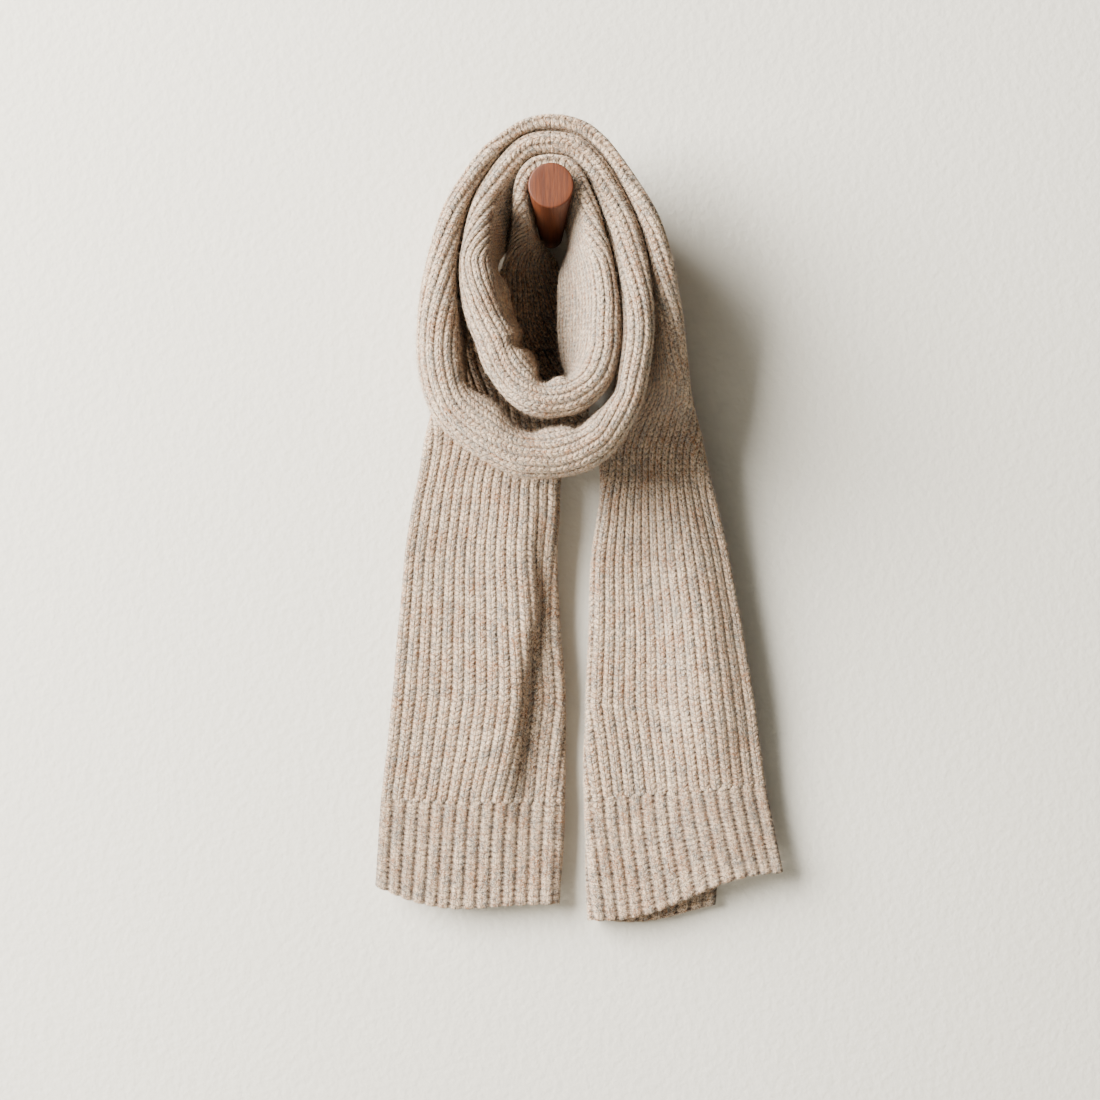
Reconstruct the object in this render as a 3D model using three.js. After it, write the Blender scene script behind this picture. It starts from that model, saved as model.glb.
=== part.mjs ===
import * as THREE from 'three';

// Rib knit scarf wound twice round a tapered wooden wall peg, both ends hanging free.
// Millimetres, +X right, +Z up, the wall is the plane y = 0 and the scarf lies on its -Y side.
// The origin is the middle of the peg's flat back, where it meets the wall.

// Cloth
const WALL = 3.4; // knit thickness from the inside face to the mean outer face
const RIB_RISE = 0.7; // crest of a rib above the mean outer face
const GROOVE_DIP = 0.4; // groove between two ribs below the mean outer face
const BODY_RIBS = 30; // ribs across the scarf
const CUFF_RIBS = 26; // broader ribs across a hem band
const CUFF_RISE = 0.9; // crest of a hem band's rib
const THICK = WALL + 2 * RIB_RISE; // what the wall adds to a section on both sides
const FLAP = 22; // selvedge part that lies round the outside of a rolled strand
const SELVEDGE_GAP = 4.5; // between the two selvedges of a rolled strand
const SEAM = 0.3; // clearance between two stretches that meet
const FOLD_EDGE = 0.075; // half width of a folded edge, in parts of the front layer

// Peg
const PEG_LENGTH = 116; // wall to the middle of the end face
const PEG_RISE = 0.2; // rise of the axis for each mm away from the wall
const PEG_BASE_R = 8.4; // radius at the wall
const PEG_FACE_R = 15.9; // radius at the end face
const PEG_EDGE = 1.2; // rounding of the end face's edge
const PEG_SIDES = 40;

// The tables give places in the front view, in steps to the right and down, as seen from a
// point straight out from the wall; seen() turns them into x and z at a depth.
const STEP = 0.72; // mm in one step, 2 m in front of the eye
const EYE = 2050; // eye to the wall
const EYE_RIGHT = 551; // steps from the left edge of the view to the eye
const EYE_DOWN = 550; // steps from its top edge to the eye
const EYE_Z = -231; // height of the eye above the origin

function seen(right, down, y) {
  const scale = (STEP * (EYE + y)) / (EYE - 50);
  return [(right - EYE_RIGHT) * scale, (EYE_DOWN - down) * scale + EYE_Z];
}

// Every row is one section of a stretch.
// outer, inner: [right, down] of the strand's outer and inner edge in the front view
// front, back: y of the section's nearest and farthest point
// gap: distance between the middles of its two layers, which is also the size of its turns
// open: 0 = rolled strand, 1 = flat with one fold at the inner edge and two free selvedges
// arc: most cloth across the section; a rolled strand uses what closes it
// drop: fall of the section for each mm toward the wall
// lag: how far the back layer's free selvedge hangs below its fold
// crease, at: slope in degrees and place of a lengthwise crease in the front layer
// sag: how far the middle of the section hangs below its ends
// sway: how far its outer half hangs lower, and its inner half higher, on top of that
// steps: solid intervals to the next row
const COLUMNS = [
  'outerRight', 'outerDown', 'innerRight', 'innerDown', 'front', 'back', 'gap', 'open', 'arc',
  'drop', 'lag', 'crease', 'at', 'sag', 'sway', 'steps',
];

// First turn's left strand and the left tail, from the top of the peg down to the hem band
const LEFT_TAIL = [
  [551, 153, 551, 175, -107, -5, 4.6, 0, 226, 0.2, 0, 0, 0.95, 0, 0, 2],
  [533, 157, 543, 176.6, -107, -5, 4.6, 0, 226, 0.2, 0, 0, 0.95, 0, 0, 2],
  [520.5, 168.5, 538.5, 181, -107, -5, 4.6, 0, 226, 0.2, 0, 0, 0.95, 0, 0, 1],
  [514.5, 184, 535.5, 190, -104, -6, 4.8, 0, 226, 0.2, 0, 0, 0.95, 0, 0, 1],
  [512.5, 203, 538, 208.5, -94, -7, 7, 0, 226, 0.2, 0, 0, 0.95, 0, 0, 1],
  [512, 222, 544, 227, -72, -8, 9, 0, 226, 0.16, 0, 0, 0.95, 0, 0, 1],
  [507, 245, 555, 252, -45, -8, 11, 0, 226, 0.1, 0, 0, 0.95, 0, 0, 1],
  [500, 269, 561, 271, -34, -8, 12.5, 0, 226, 0.05, 0, 0, 0.95, 0, 0, 1],
  [486, 291, 564, 292, -33, -7, 12.5, 0, 226, 0.02, 0, 0, 0.95, 0, 0, 1],
  [474, 311, 565, 311, -34, -6, 12.5, 0, 226, 0, 0, 0, 0.95, 0, 0, 1],
  [459, 332, 567, 332, -32, -6, 12, 0.05, 226, 0, 0, 0, 0.95, 0, 0, 1],
  [446, 368, 576, 368, -30, -6, 11.5, 0.2, 215, 0, 0, 0, 0.95, 0, 0, 1],
  [434, 403, 590, 403, -29, -7, 11, 0.42, 212, 0, 0, 0, 0.95, 0, 0, 1],
  [424, 438, 582, 438, -29, -9, 10, 0.7, 214, 0, 0, 0, 0.9, 0, 0, 1],
  [418.5, 473, 563, 473, -31, -12, 9.5, 0.92, 218, 0, 0, 6, 0.9, 0, 0, 1],
  [410.5, 515, 560, 515, -34, -17, 9.5, 1, 220, 0, 0, 22, 0.9, 0, 0, 1],
  [404, 558, 558, 558, -36, -20, 9.5, 1, 222, 0, 0, 50, 0.89, 0, 0, 1],
  [400, 608, 560, 608, -37, -21, 9.5, 1, 224, 0, 0, 78, 0.875, 0, 0, 1],
  [393.5, 680, 566, 680, -37, -21, 9.5, 1, 226, 0, 0, 82, 0.785, 0, 0, 1],
  [388, 742, 566.5, 742, -33, -18, 9.5, 1, 226, 0, 0, 70, 0.765, 0, 0, 1],
  [381.5, 798, 565.5, 804, -26, -11, 9.5, 1, 226, 0, 0, 26, 0.76, 0, 0, 1],
];

// Left hem band, from the tail's last row to its edge
const LEFT_CUFF = [
  [381.5, 798, 565.5, 804, -26, -11, 9.5, 1, 226, 0, 0, 26, 0.76, 0, 0, 1],
  [379.5, 826, 564, 836, -23.5, -9, 9.5, 1, 226, 0, 0, 14, 0.76, 3, 1, 1],
  [377.5, 858, 562, 872, -21.5, -7, 9.5, 1, 228, 0, 0, 5, 0.76, 6.5, 2, 1],
  [375.5, 885, 560, 903, -21, -7, 9.5, 1, 230, 0, 0, 0, 0.72, 9.4, 2.4, 1],
];

// Inner loop: over the peg, down its right side, round the bottom and up on the left
const INNER_LOOP = [
  [551, 153, 551, 175, -107, -5, 4.6, 0, 226, 0.2, 0, 0, 0.5, 0, 0, 2],
  [569, 157, 559, 176.6, -107, -5, 4.6, 0, 226, 0.2, 0, 0, 0.5, 0, 0, 2],
  [582, 169.5, 564, 182.5, -107, -5, 4.8, 0, 226, 0.2, 0, 0, 0.5, 0, 0, 1],
  [592, 189, 568, 199, -107, -6, 7.6, 0, 226, 0.2, 0, 0, 0.5, 0, 0, 1],
  [600, 208, 566, 214, -108, -8, 9.4, 0, 226, 0.2, 0, 0, 0.5, 0, 0, 1],
  [607, 232, 561.5, 236, -110, -22, 11, 0, 226, 0.17, 0, 0, 0.5, 0, 0, 1],
  [614, 258, 558, 261, -112, -38, 13, 0, 226, 0.12, 0, 0, 0.5, 0, 0, 1],
  [619.5, 292, 557.5, 293, -115, -42, 15, 0, 226, 0.06, 0, 0, 0.5, 0, 0, 1],
  [622, 322, 557.5, 319, -118, -40, 17, 0, 226, 0, 0, 0, 0.5, 0, 0, 1],
  [621, 350, 559, 341, -120, -41, 18, 0, 226, 0, 0, 0, 0.5, 0, 0, 1],
  [613, 378, 562, 357, -122, -41, 20, 0, 226, 0, 0, 0, 0.5, 0, 0, 1],
  [600, 397, 565, 366, -123, -41, 20, 0, 226, 0, 0, 0, 0.5, 0, 0, 1],
  [581, 411, 565, 372, -124, -41, 21, 0, 226, 0, 0, 0, 0.5, 0, 0, 1],
  [563, 416, 558, 372, -124, -41, 24, 0, 226, 0, 0, 0, 0.5, 0, 0, 1],
  [545, 417, 546, 379, -124, -41, 20, 0, 226, 0, 0, 0, 0.5, 0, 0, 1],
  [525, 412, 539, 376, -124, -41, 20, 0, 226, 0, 0, 0, 0.5, 0, 0, 1],
  [507, 400, 537, 360, -123, -41, 25, 0, 226, 0, 0, 0, 0.5, 0, 0, 1],
  [493, 383, 530, 345, -122, -41, 26, 0, 226, 0, 0, 0, 0.5, 0, 0, 1],
  [482, 364, 519, 338, -121, -40, 21, 0, 226, 0, 0, 0, 0.5, 0, 0, 1],
  [475, 342, 521.5, 325, -119, -40, 23, 0, 226, 0, 0, 0, 0.5, 0, 0, 1],
  [467, 322, 514, 311, -117, -40, 22, 0, 226, 0, 0, 0, 0.5, 0, 0, 1],
  [461, 298, 511, 294, -116, -43, 21, 0, 226, 0.04, 0, 0, 0.5, 0, 0, 1],
  [458.5, 274, 507.5, 274, -114, -48, 20, 0, 226, 0.08, 0, 0, 0.5, 0, 0, 1],
  [460, 250, 497, 252, -112, -48, 16, 0, 226, 0.13, 0, 0, 0.5, 0, 0, 1],
  [471, 201, 505, 215.5, -108, -17, 13, 0, 226, 0.2, 0, 0, 0.5, 0, 0, 1],
  [485, 175, 513.5, 193, -107, -8, 12, 0, 226, 0.2, 0, 0, 0.5, 0, 0, 1],
  [501, 153, 525, 174, -107, -6, 11.2, 0, 226, 0.2, 0, 0, 0.5, 0, 0, 1],
  [518, 137, 535.7, 163.4, -107, -6, 11.2, 0, 226, 0.2, 0, 0, 0.5, 0, 0, 1],
  [534.5, 130.5, 542, 161, -107, -6, 11.2, 0, 226, 0.2, 0, 0, 0.5, 0, 0, 1],
  [551, 129, 551, 160.4, -107, -6, 11.2, 0, 226, 0.2, 0, 0, 0.5, 0, 0, 1],
];

// Outer loop: over the inner loop on the peg, round below it and up again on the left
const OUTER_LOOP = [
  [551, 129, 551, 160.4, -107, -6, 11.2, 0, 226, 0.2, 0, 0, 0.5, 0, 0, 1],
  [566, 130.5, 560, 161.4, -107, -6, 11.2, 0, 226, 0.2, 0, 0, 0.5, 0, 0, 1],
  [580, 134.5, 566.6, 161.8, -107, -6, 11.3, 0, 226, 0.2, 0, 0, 0.5, 0, 0, 1],
  [593, 144, 571.2, 167.2, -107, -6, 12.3, 0, 226, 0.2, 0, 0, 0.5, 0, 0, 1],
  [608, 161, 582.2, 180, -107, -6, 12.5, 0, 226, 0.2, 0, 0, 0.5, 0, 0, 1],
  [624, 187, 591, 204.7, -107, -7, 15.2, 0, 226, 0.2, 0, 0, 0.5, 0, 0, 1],
  [637, 215, 599, 229.7, -108, -10, 17.4, 0, 226, 0.2, 0, 0, 0.5, 0, 0, 1],
  [646, 244, 606, 254, -110, -14, 18, 0, 226, 0.16, 0, 0, 0.5, 0, 0, 1],
  [651.5, 273, 609.5, 280, -112, -22, 18, 0, 226, 0.1, 0, 0, 0.5, 0, 0, 1],
  [654.5, 305, 613, 306, -115, -32, 18, 0, 226, 0.04, 0, 0, 0.5, 0, 0, 1],
  [654, 342, 614, 337, -118, -38, 18, 0, 226, 0, 0, 0, 0.5, 0, 0, 1],
  [645, 396, 616, 383, -122, -41, 17, 0, 226, 0, 0, 0, 0.5, 0, 0, 1],
  [632, 427, 602.5, 403, -123, -41, 20, 0, 226, 0, 0, 0, 0.5, 0, 0, 1],
  [613, 454, 591, 412, -124, -41, 26, 0, 226, 0, 0, 0, 0.5, 0, 0, 1],
  [595, 467, 577, 425, -124, -41, 25, 0, 226, 0, 0, 0, 0.5, 0, 0, 1],
  [577, 474, 564, 422, -124, -41, 30, 0, 226, 0, 0, 0, 0.5, 0, 0, 1],
  [557, 478, 547.5, 422, -124, -41, 31, 0, 226, 0, 0, 0, 0.5, 0, 0, 1],
  [539, 478.5, 534, 429, -124, -41, 28, 0, 226, 0, 0, 0, 0.5, 0, 0, 1],
  [521, 477, 520, 426, -124, -41, 29, 0, 226, 0, 0, 0, 0.5, 0, 0, 1],
  [503, 470.5, 509, 415, -124, -41, 31, 0, 226, 0, 0, 0, 0.5, 0, 0, 1],
  [483, 459.5, 499, 402, -124, -41, 33, 0, 226, 0, 0, 0, 0.5, 0, 0, 1],
  [462, 446, 487, 391, -123, -41, 33, 0, 226, 0, 0, 0, 0.5, 0, 0, 1],
  [441, 428, 471, 384, -122, -41, 30, 0, 226, 0, 0, 0, 0.5, 0, 0, 1],
  [427, 407, 466, 377, -121, -40, 27, 0, 226, 0, 0, 0, 0.5, 0, 0, 1],
  [419, 382, 464.5, 363, -120, -39, 27, 0, 226, 0, 0, 0, 0.5, 0, 0, 1],
  [415.5, 351, 464, 345, -118, -37, 26, 0, 226, 0, 0, 0, 0.5, 0, 0, 1],
  [417.5, 312, 465, 314, -116, -32, 23.5, 0, 226, 0.04, 0, 0, 0.5, 0, 0, 1],
  [425, 262, 464.5, 271, -112, -20, 17.4, 0, 226, 0.12, 0, 0, 0.5, 0, 0, 1],
  [439, 213, 470.3, 227, -108, -9, 13, 0, 226, 0.2, 0, 0, 0.5, 0, 0, 1],
  [457, 179, 482, 194.5, -107, -7, 9.6, 0, 226, 0.2, 0, 0, 0.5, 0, 0, 1],
  [478, 150, 498, 168, -107, -6, 8, 0, 226, 0.2, 0, 0, 0.5, 0, 0, 1],
  [497, 135, 510, 153.5, -107, -6, 5, 0, 226, 0.2, 0, 0, 0.5, 0, 0, 1],
  [516.6, 122.3, 526.2, 141.3, -107, -6, 4.2, 0, 226, 0.2, 0, 0, 0.5, 0, 0, 1],
  [534, 115.6, 540.4, 137, -107, -6, 4.8, 0, 226, 0.2, 0, 0, 0.5, 0, 0, 1],
  [551, 113, 551, 136, -107, -6, 5.4, 0, 226, 0.2, 0, 0, 0.5, 0, 0, 1],
];

// Last pass over the peg and the right tail, down to the hem band
const RIGHT_TAIL = [
  [551, 113, 551, 136, -107, -6, 5.4, 0, 226, 0.2, 0, 0, 0.3, 0, 0, 1],
  [569, 115.3, 563, 136.4, -107, -6, 4.6, 0, 226, 0.2, 0, 0, 0.3, 0, 0, 1],
  [588, 122.4, 576, 139.8, -107, -6, 4.1, 0, 226, 0.2, 0, 0, 0.3, 0, 0, 1],
  [601, 132, 587.3, 146.9, -107, -6, 4.1, 0, 226, 0.2, 0, 0, 0.3, 0, 0, 1],
  [613.7, 145.3, 598.2, 157.6, -107, -6, 4.1, 0, 226, 0.2, 0, 0, 0.3, 0, 0, 1],
  [634.7, 173.9, 617, 186, -107, -7, 5.4, 0, 226, 0.2, 0, 0, 0.3, 0, 0, 1],
  [653, 202, 629, 215.4, -107, -10, 8.2, 0, 226, 0.2, 0, 0, 0.3, 0, 0, 1],
  [666, 231, 637.5, 241, -106, -12, 10.2, 0, 226, 0.16, 0, 0, 0.3, 0, 0, 1],
  [675.5, 268, 644.5, 274.5, -103, -14, 11.6, 0, 226, 0.1, 0, 0, 0.3, 0, 0, 1],
  [683, 312, 648, 315, -94, -14, 12.6, 0, 226, 0.04, 0, 0, 0.3, 0, 0, 1],
  [687, 351, 643, 352, -80, -12, 12.6, 0.06, 226, 0, 0, 0, 0.3, 0, 0, 1],
  [691, 386, 626, 387, -62, -9, 12.4, 0.14, 220, 0, 0, 0, 0.3, 0, 0, 1],
  [697, 416, 604, 416, -48, -7, 12, 0.27, 212, 0, 0, 4, 0.3, 0, 0, 1],
  [704, 443, 598, 443, -44, -8, 11.5, 0.44, 208, 0, 0, 9, 0.3, 0, 0, 1],
  [711.5, 478, 600, 478, -40, -12, 11, 0.66, 210, 0, 0, 16, 0.3, 0, 0, 1],
  [720.5, 517, 597, 517, -38, -17, 10, 0.86, 214, 0, 0, 23, 0.3, 0, 0, 1],
  [730, 560, 591, 560, -38, -22, 10, 0.97, 220, 0, 0, 30, 0.3, 0, 0, 1],
  [743, 628, 588, 628, -38, -22, 10, 1, 224, 0, 0, 32, 0.3, 0, 0, 1],
  [755.5, 702, 585, 702, -35, -19, 10, 1, 226, 0, 0, 28, 0.3, 0, 0, 1],
  [762, 750, 583.5, 756, -30, -14, 10, 1, 226, 0, 0, 20, 0.3, 0, 0, 1],
  [766, 784, 583, 800, -26, -10, 10, 1, 226, 0, 1, 13, 0.3, 0, 0, 1],
];

// Right hem band, from the tail's last row to its edge
const RIGHT_CUFF = [
  [766, 784, 583, 800, -26, -10, 10, 1, 226, 0, 1, 13, 0.3, 0, 0, 1],
  [771, 812, 584, 838, -24.5, -9, 10.5, 1, 228, 0, 5, 10, 0.3, 0.7, -1.8, 1],
  [777, 842, 585.5, 880, -24, -8, 11, 1, 230, 0, 10.5, 8, 0.3, 1.4, -3.6, 1],
  [783, 871, 587.5, 920, -24, -8, 11.5, 1, 232, 0, 16, 6, 0.3, 2.1, -5.3, 1],
];

function readRow(values) {
  return Object.fromEntries(COLUMNS.map((name, index) => [name, values[index]]));
}

function mixFour(a, b, c, d, t) {
  const t2 = t * t;
  const t3 = t2 * t;
  const early = (2 * b + (c - a) * t) / 2;
  return early + ((2 * a - 5 * b + 4 * c - d) * t2 + (3 * b - a - 3 * c + d) * t3) / 2;
}

// Rows of a table plus the smooth in-between rows that its steps column asks for
function fillRows(table) {
  const rows = table.map(readRow);
  const filled = [];
  for (let i = 0; i < rows.length - 1; i += 1) {
    const before = rows[Math.max(i - 1, 0)];
    const here = rows[i];
    const next = rows[i + 1];
    const after = rows[Math.min(i + 2, rows.length - 1)];
    for (let k = 0; k < here.steps; k += 1) {
      const row = {};
      for (const name of COLUMNS) {
        row[name] = mixFour(before[name], here[name], next[name], after[name], k / here.steps);
      }
      filled.push(row);
    }
  }
  filled.push(rows[rows.length - 1]);
  return filled;
}

// Lengths of cloth across a section: selvedge flap, front turn, run, back turn, rest
function sectionLengths(row, width) {
  const across = Math.max(width - row.gap - THICK, 1);
  const deep = Math.max(row.back - row.front - row.gap - THICK, 0);
  const open = Math.min(Math.max(row.open, 0), 1);
  const flap = FLAP * (1 - open) ** 2;
  const frontTurn = (Math.PI / 2) * row.gap * (1 - open);
  const backTurn = (Math.PI / 2) * row.gap;
  const run = Math.hypot(across, deep);
  const slope = (row.crease * Math.PI) / 180;
  const takenUp = run * slope * slope * (row.at > 0.5 ? 0.6 * FOLD_EDGE : 0.17);
  const closed = run - flap - SELVEDGE_GAP - takenUp;
  const left = row.arc - flap - frontTurn - run - backTurn;
  const rest = Math.min(closed, left);
  return { open, flap, frontTurn, run, backTurn, rest, tilt: Math.atan2(across, deep) };
}

function bell(x) {
  return Math.exp(-x * x);
}

// Slope in degrees of the front layer at a fraction of its run, from one lengthwise crease
function creaseSlope(row, fraction) {
  if (row.at > 0.5) {
    const rise = 0.1 * row.crease * bell((fraction - row.at + 0.3) / 0.2);
    return rise - row.crease * bell((fraction - row.at) / FOLD_EDGE);
  }
  const rise = row.crease * bell((fraction - row.at + 0.16) / 0.12);
  return rise - row.crease * bell((fraction - row.at - 0.2) / 0.16);
}

// Direction of the cloth at a distance s from its first selvedge, in radians
function heading(row, parts, s) {
  const half = Math.PI;
  const start = half * (1 - parts.open);
  let rest = s - parts.flap;
  if (rest < 0) {
    return start;
  }
  if (rest < parts.frontTurn) {
    return start * (1 - rest / parts.frontTurn);
  }
  rest -= parts.frontTurn;
  if (rest < parts.run) {
    return (creaseSlope(row, rest / parts.run) * half) / 180;
  }
  rest -= parts.run;
  if (rest < parts.backTurn) {
    return (-half * rest) / parts.backTurn;
  }
  return -half;
}

// Middle line of a section as [along, out, heading] at even distances
function middleLine(row, parts, count) {
  const total = parts.flap + parts.frontTurn + parts.run + parts.backTurn + parts.rest;
  const line = [];
  const step = total / count;
  let along = 0;
  let out = 0;
  for (let i = 0; i <= count; i += 1) {
    line.push([along, out, heading(row, parts, i * step)]);
    const middle = heading(row, parts, (i + 0.5) * step);
    along += Math.cos(middle) * step;
    out += Math.sin(middle) * step;
  }
  return { total, step, line };
}

function pointAt(curve, s, offset) {
  const place = Math.min(s / curve.step, curve.line.length - 1.000001);
  const index = Math.floor(place);
  const t = place - index;
  const a = curve.line[index];
  const b = curve.line[index + 1];
  const turn = a[2] + (b[2] - a[2]) * t;
  const along = a[0] + (b[0] - a[0]) * t - Math.sin(turn) * offset;
  const out = a[1] + (b[1] - a[1]) * t + Math.cos(turn) * offset;
  return [along, out];
}

// Distances across a section at which the plain inside has its points
function insideStops(row, parts) {
  const stops = [0, parts.flap, parts.flap + parts.frontTurn / 2];
  const run = parts.flap + parts.frontTurn;
  let shares = [0, 0.25, 0.5, 0.75, 1];
  if (row.at > 0.5) {
    const a = row.at;
    const e = FOLD_EDGE;
    shares = [0, a * 0.4, a * 0.8, a - e, a - e * 0.35, a + e * 0.35, a + e, 1];
    shares = shares.map((share) => Math.min(share, 1)).sort((p, q) => p - q);
  }
  for (const share of shares) {
    stops.push(run + parts.run * share);
  }
  const turn = run + parts.run;
  stops.push(turn + parts.backTurn * 0.5);
  for (const share of [0, 0.5, 1]) {
    stops.push(turn + parts.backTurn + parts.rest * share);
  }
  return stops;
}

// One section in space: ribbed outside points and plain inside points
function section(row, ribs, rise) {
  const depth = row.front + 6;
  const outer = seen(row.outerRight, row.outerDown, depth);
  const inner = seen(row.innerRight, row.innerDown, depth);
  const width = Math.hypot(inner[0] - outer[0], inner[1] - outer[1]);
  const inX = (inner[0] - outer[0]) / width;
  const inZ = (inner[1] - outer[1]) / width;
  const parts = sectionLengths(row, width);
  const curve = middleLine(row, parts, 420);
  const sin = Math.sin(parts.tilt);
  const cos = Math.cos(parts.tilt);
  const turned = ([along, out]) => [along * sin + out * cos, along * cos - out * sin];
  const outside = [];
  const outsideStops = [];
  for (let i = 0; i <= ribs * 2; i += 1) {
    const s = (curve.total * i) / (ribs * 2);
    const offset = WALL / 2 + (i % 2 === 1 ? rise : -GROOVE_DIP);
    outside.push(turned(pointAt(curve, s, offset)));
    outsideStops.push(s);
  }
  const stops = insideStops(row, parts);
  const inside = stops.map((s) => turned(pointAt(curve, s, -WALL / 2)));
  const all = outside.concat(inside);
  const least = Math.min(...all.map((point) => point[0]));
  const most = Math.max(...all.map((point) => point[0]));
  const nearest = Math.min(...all.map((point) => point[1]));
  const stretch = width / (most - least);
  const place = ([across, deep], s) => {
    const b = (across - least) * stretch;
    const d = deep - nearest;
    const half = Math.PI * Math.min(b / width, 1);
    const hang = row.sag * Math.sin(half) + row.sway * Math.sin(2 * half);
    const behind = Math.max(s - curve.total + parts.rest, 0) / parts.rest;
    return [
      outer[0] + b * inX + hang * inZ,
      row.front + d,
      outer[1] + b * inZ - hang * Math.abs(inX) - row.drop * d - row.lag * behind,
    ];
  };
  return {
    outside: outside.map((point, i) => place(point, outsideStops[i])),
    inside: inside.map((point, i) => place(point, stops[i])),
    outsideStops,
    insideStops: stops,
    stretch,
    arc: curve.total,
  };
}

// Triangles between two open lines of points that run the same way
function zip(first, firstStops, second, secondStops, add) {
  let i = 0;
  let k = 0;
  while (i < first.length - 1 || k < second.length - 1) {
    const nextFirst = i < first.length - 1 ? firstStops[i + 1] : Infinity;
    const nextSecond = k < second.length - 1 ? secondStops[k + 1] : Infinity;
    if (nextFirst <= nextSecond) {
      add(first[i], first[i + 1], second[k]);
      i += 1;
    } else {
      add(first[i], second[k + 1], second[k]);
      k += 1;
    }
  }
}

// Signed volume of a triangle list
function volumeOf(points, faces) {
  let sum = 0;
  for (const [a, b, c] of faces) {
    const p = points[a];
    const q = points[b];
    const r = points[c];
    sum += p[0] * (q[1] * r[2] - q[2] * r[1]);
    sum += p[1] * (q[2] * r[0] - q[0] * r[2]);
    sum += p[2] * (q[0] * r[1] - q[1] * r[0]);
  }
  return sum / 6;
}

function toMesh(name, points, faces, look) {
  const turnedFaces = volumeOf(points, faces) < 0 ? faces.map(([a, b, c]) => [a, c, b]) : faces;
  const geometry = new THREE.BufferGeometry();
  geometry.setAttribute('position', new THREE.Float32BufferAttribute(points.flat(), 3));
  geometry.setIndex(turnedFaces.flat());
  geometry.computeVertexNormals();
  const mesh = new THREE.Mesh(geometry, new THREE.MeshStandardMaterial(look));
  mesh.name = name;
  return mesh;
}

// A stretch of scarf: closed wall through all its sections, with square ends.
// startShift and endShift move the end sections along the row of sections to leave a seam.
function stretchOfScarf(name, table, ribs, rise, startShift, endShift) {
  const rows = fillRows(table);
  const sections = rows.map((row) => section(row, ribs, rise));
  moveEnd(sections[0], sections[1], startShift);
  moveEnd(sections[sections.length - 1], sections[sections.length - 2], endShift);
  const outCount = sections[0].outside.length;
  const inCount = sections[0].inside.length;
  const size = outCount + inCount;
  const points = [];
  for (const one of sections) {
    points.push(...one.outside, ...one.inside);
  }
  const faces = [];
  const add = (a, b, c) => faces.push([a, b, c]);
  for (let i = 0; i < sections.length - 1; i += 1) {
    const here = i * size;
    const next = here + size;
    for (let k = 0; k < outCount - 1; k += 1) {
      add(here + k, next + k, here + k + 1);
      add(here + k + 1, next + k, next + k + 1);
    }
    for (let k = outCount; k < size - 1; k += 1) {
      add(here + k, here + k + 1, next + k);
      add(here + k + 1, next + k + 1, next + k);
    }
    add(here, here + outCount, next);
    add(next, here + outCount, next + outCount);
    add(here + outCount - 1, next + outCount - 1, here + size - 1);
    add(next + outCount - 1, next + size - 1, here + size - 1);
  }
  for (const [index, flip] of [[0, false], [sections.length - 1, true]]) {
    const base = index * size;
    const one = sections[index];
    const outIds = one.outside.map((point, k) => base + k);
    const inIds = one.inside.map((point, k) => base + outCount + k);
    const cap = (a, b, c) => (flip ? add(a, c, b) : add(a, b, c));
    zip(outIds, one.outsideStops, inIds, one.insideStops, cap);
  }
  return toMesh(name, points, faces, { color: 0xcdbfae, roughness: 0.95, metalness: 0 });
}

// Move an end section toward its neighbour by a distance
function moveEnd(end, neighbour, distance) {
  if (distance === 0) {
    return;
  }
  const middle = (one) => {
    const sum = [0, 0, 0];
    for (const point of one.outside) {
      sum[0] += point[0] / one.outside.length;
      sum[1] += point[1] / one.outside.length;
      sum[2] += point[2] / one.outside.length;
    }
    return sum;
  };
  const from = middle(end);
  const to = middle(neighbour);
  const length = Math.hypot(to[0] - from[0], to[2] - from[2]);
  const dx = ((to[0] - from[0]) / length) * distance;
  const dz = ((to[2] - from[2]) / length) * distance;
  for (const point of end.outside.concat(end.inside)) {
    point[0] += dx;
    point[2] += dz;
  }
}

// Round tapered peg that rises toward its end; its back and its end face are parallel to the wall
function makePeg() {
  const taper = (PEG_FACE_R - PEG_BASE_R) / PEG_LENGTH;
  const rings = [
    [0, PEG_BASE_R],
    [30, PEG_BASE_R + 30 * taper],
    [75, PEG_BASE_R + 75 * taper],
    [PEG_LENGTH - PEG_EDGE, PEG_FACE_R - PEG_EDGE * taper],
    [PEG_LENGTH - PEG_EDGE * 0.3, PEG_FACE_R - PEG_EDGE * 0.3],
    [PEG_LENGTH, PEG_FACE_R - PEG_EDGE],
  ];
  const points = [];
  for (const [out, radius] of rings) {
    for (let i = 0; i < PEG_SIDES; i += 1) {
      const angle = (2 * Math.PI * i) / PEG_SIDES;
      points.push([Math.cos(angle) * radius, -out, PEG_RISE * out + Math.sin(angle) * radius]);
    }
  }
  const faces = [];
  for (let ring = 0; ring < rings.length - 1; ring += 1) {
    for (let i = 0; i < PEG_SIDES; i += 1) {
      const j = (i + 1) % PEG_SIDES;
      const a = ring * PEG_SIDES;
      const b = a + PEG_SIDES;
      faces.push([a + i, a + j, b + i], [a + j, b + j, b + i]);
    }
  }
  // Each flat end is one wide triangle round its middle and a fan beside each side of it
  const third = Math.round(PEG_SIDES / 3);
  const corners = [0, third, PEG_SIDES - third, PEG_SIDES];
  const last = (rings.length - 1) * PEG_SIDES;
  const addFlat = (a, b, c) => {
    faces.push([a, c, b], [last + a, last + b, last + c]);
  };
  addFlat(corners[0], corners[1], corners[2]);
  for (let k = 0; k < 3; k += 1) {
    for (let i = corners[k] + 1; i < corners[k + 1]; i += 1) {
      addFlat(corners[k], i, (i + 1) % PEG_SIDES);
    }
  }
  return toMesh('peg', points, faces, { color: 0xb5744a, roughness: 0.55, metalness: 0 });
}

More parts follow.
